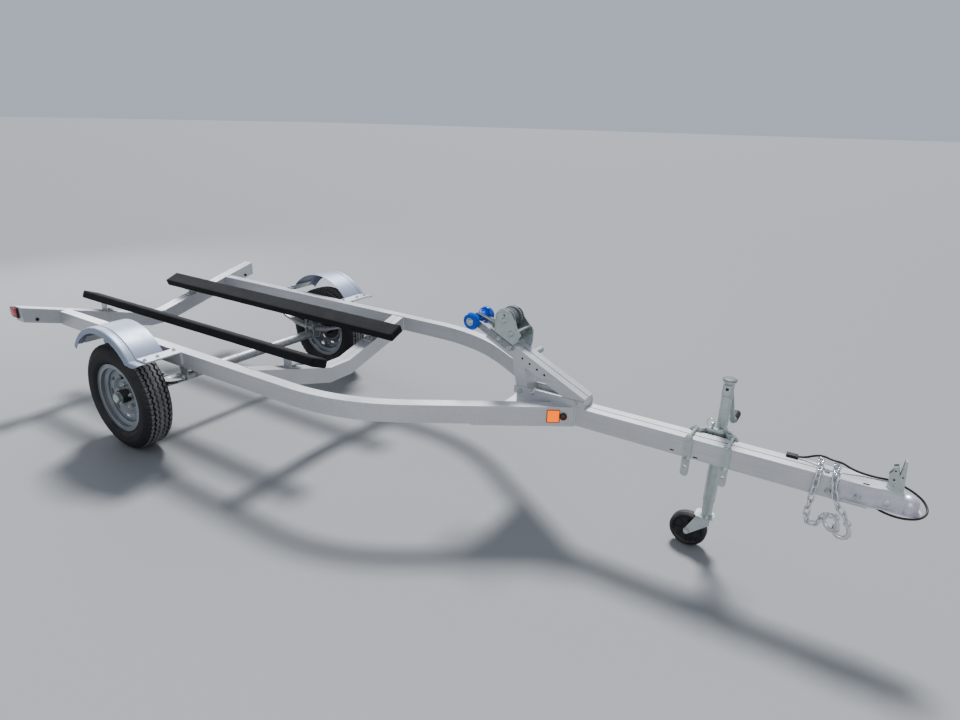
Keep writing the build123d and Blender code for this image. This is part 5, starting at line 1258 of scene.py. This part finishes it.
gripPlace = fromAxle(jack["x"], jack["armY"] + jack["gripOut"], jack["shaftZ"]) + armDown
bm = bmesh.new()
spin(bm, gripOutline(jackGrip), facing(gripPlace, left), 32)
pieceOf("jackGrip", bm, "jack", cordBlack, 60)

# caster details
caster = {"x": 2517, "z": 71, "forkSide": 28.3, "plateZ": 152.1,
          "rivets": (-31, 20), "rivetY": 18, "rivetZ": 152,
          "race": [(0.0196, 0.0), (0.0245, 0.0), (0.0245, 0.0020), (0.0232, 0.0030), (0.0196, 0.0030)]}
ribs = {"count": 8, "from": 0.022, "to": 0.052, "half": 0.0016, "face": 0.0095, "out": 0.0182}
bm = bmesh.new()
for side in (1, -1):
    axleEnd = fromAxle(caster["x"], jack["y"] + side * caster["forkSide"], caster["z"])
    hexBolt(bm, "caster", axleEnd, (0, side, 0))
spin(bm, caster["race"], facing(fromAxle(jack["x"], jack["y"], caster["plateZ"]), up), 40, closed=True)
for x in caster["rivets"]:
    for side in (-1, 1):
        rivetAt = fromAxle(jack["x"] + x, jack["y"] + side * caster["rivetY"], caster["rivetZ"])
        domeHead(bm, rivetAt, up, 0.004, 0.0022)
pieceOf("casterTrim", bm, "caster_fork", zincPlate, 35)
wheelAt = Matrix.Translation(fromAxle(caster["x"], jack["y"], caster["z"]))
bm = bmesh.new()
for side in (1, -1):
    for i in range(ribs["count"]):
        place = wheelAt @ Matrix.Rotation(2 * pi * i / ribs["count"], 4, "Y")
        y0, y1 = sorted((side * ribs["face"], side * ribs["out"]))
        slab(bm, (ribs["from"], y0, -ribs["half"]), (ribs["to"], y1, ribs["half"]), 0.0008, place, 1)
pieceOf("casterRibs", bm, "caster_wheel", casterBlack, 30)

# coupler details; rivets and holes are x, z and radius from the latch's foot
latch = {"x": 3122, "z": 520.3, "rivetY": 15.1, "holeY": 15.0,
         "rivets": ((-6, 12, 0.0046), (10, 24, 0.0040)),
         "holes": ((-12, 30, 0.0034), (-14, 60, 0.0028), (8, 44, 0.0026))}
emboss = {"x": 3107, "y": 32.3, "z": 474.6, "lean": (0.105, 0.994),
          "outline": [(0.0, 0.0024), (0.0075, 0.0022), (0.0098, 0.0012), (0.0112, 0.0)]}
bm = bmesh.new()
for side in (1, -1):
    place = fromAxle(emboss["x"], side * emboss["y"], emboss["z"])
    ahead, aside = emboss["lean"]
    spin(bm, emboss["outline"], facing(place, (ahead, side * aside, 0)), 36, ends=False)
pieceOf("couplerEmboss", bm, "frame", couplerZinc, 60)
bm, holes = bmesh.new(), bmesh.new()
for side in (1, -1):
    for x, z, radius in latch["rivets"]:
        rivetAt = fromAxle(latch["x"] + x, side * latch["rivetY"], latch["z"] + z)
        domeHead(bm, rivetAt, (0, side, 0), radius, 0.0022)
    for x, z, radius in latch["holes"]:
        holeAt = fromAxle(latch["x"] + x, side * latch["holeY"], latch["z"] + z)
        spin(holes, [(radius, 0.0), (radius * 0.9, 0.0004)], facing(holeAt, (0, side, 0)), 20)
pieceOf("latchRivets", bm, "frame", zincPlate, 50)
# painted shade: black discs stand in for the shade inside the latch's holes
pieceOf("latchHoleShade", holes, "frame", hubBlack)
print("jack, caster and coupler dressed")

# floor
floorPlate = {"size": 160.0, "sunk": 0.0005, "color": (0.30, 0.303, 0.307)}
bm = bmesh.new()
bmesh.ops.create_grid(bm, x_segments=1, y_segments=1, size=floorPlate["size"])
floorMesh = meshFrom("floor", bm)
floorMesh.materials.append(startMaterial("floorPaint", Roughness=0.85, Base_Color=floorPlate["color"])[0])
floorObject = show("floor", floorMesh)
floorObject.location = (0, 0, -floorPlate["sunk"])
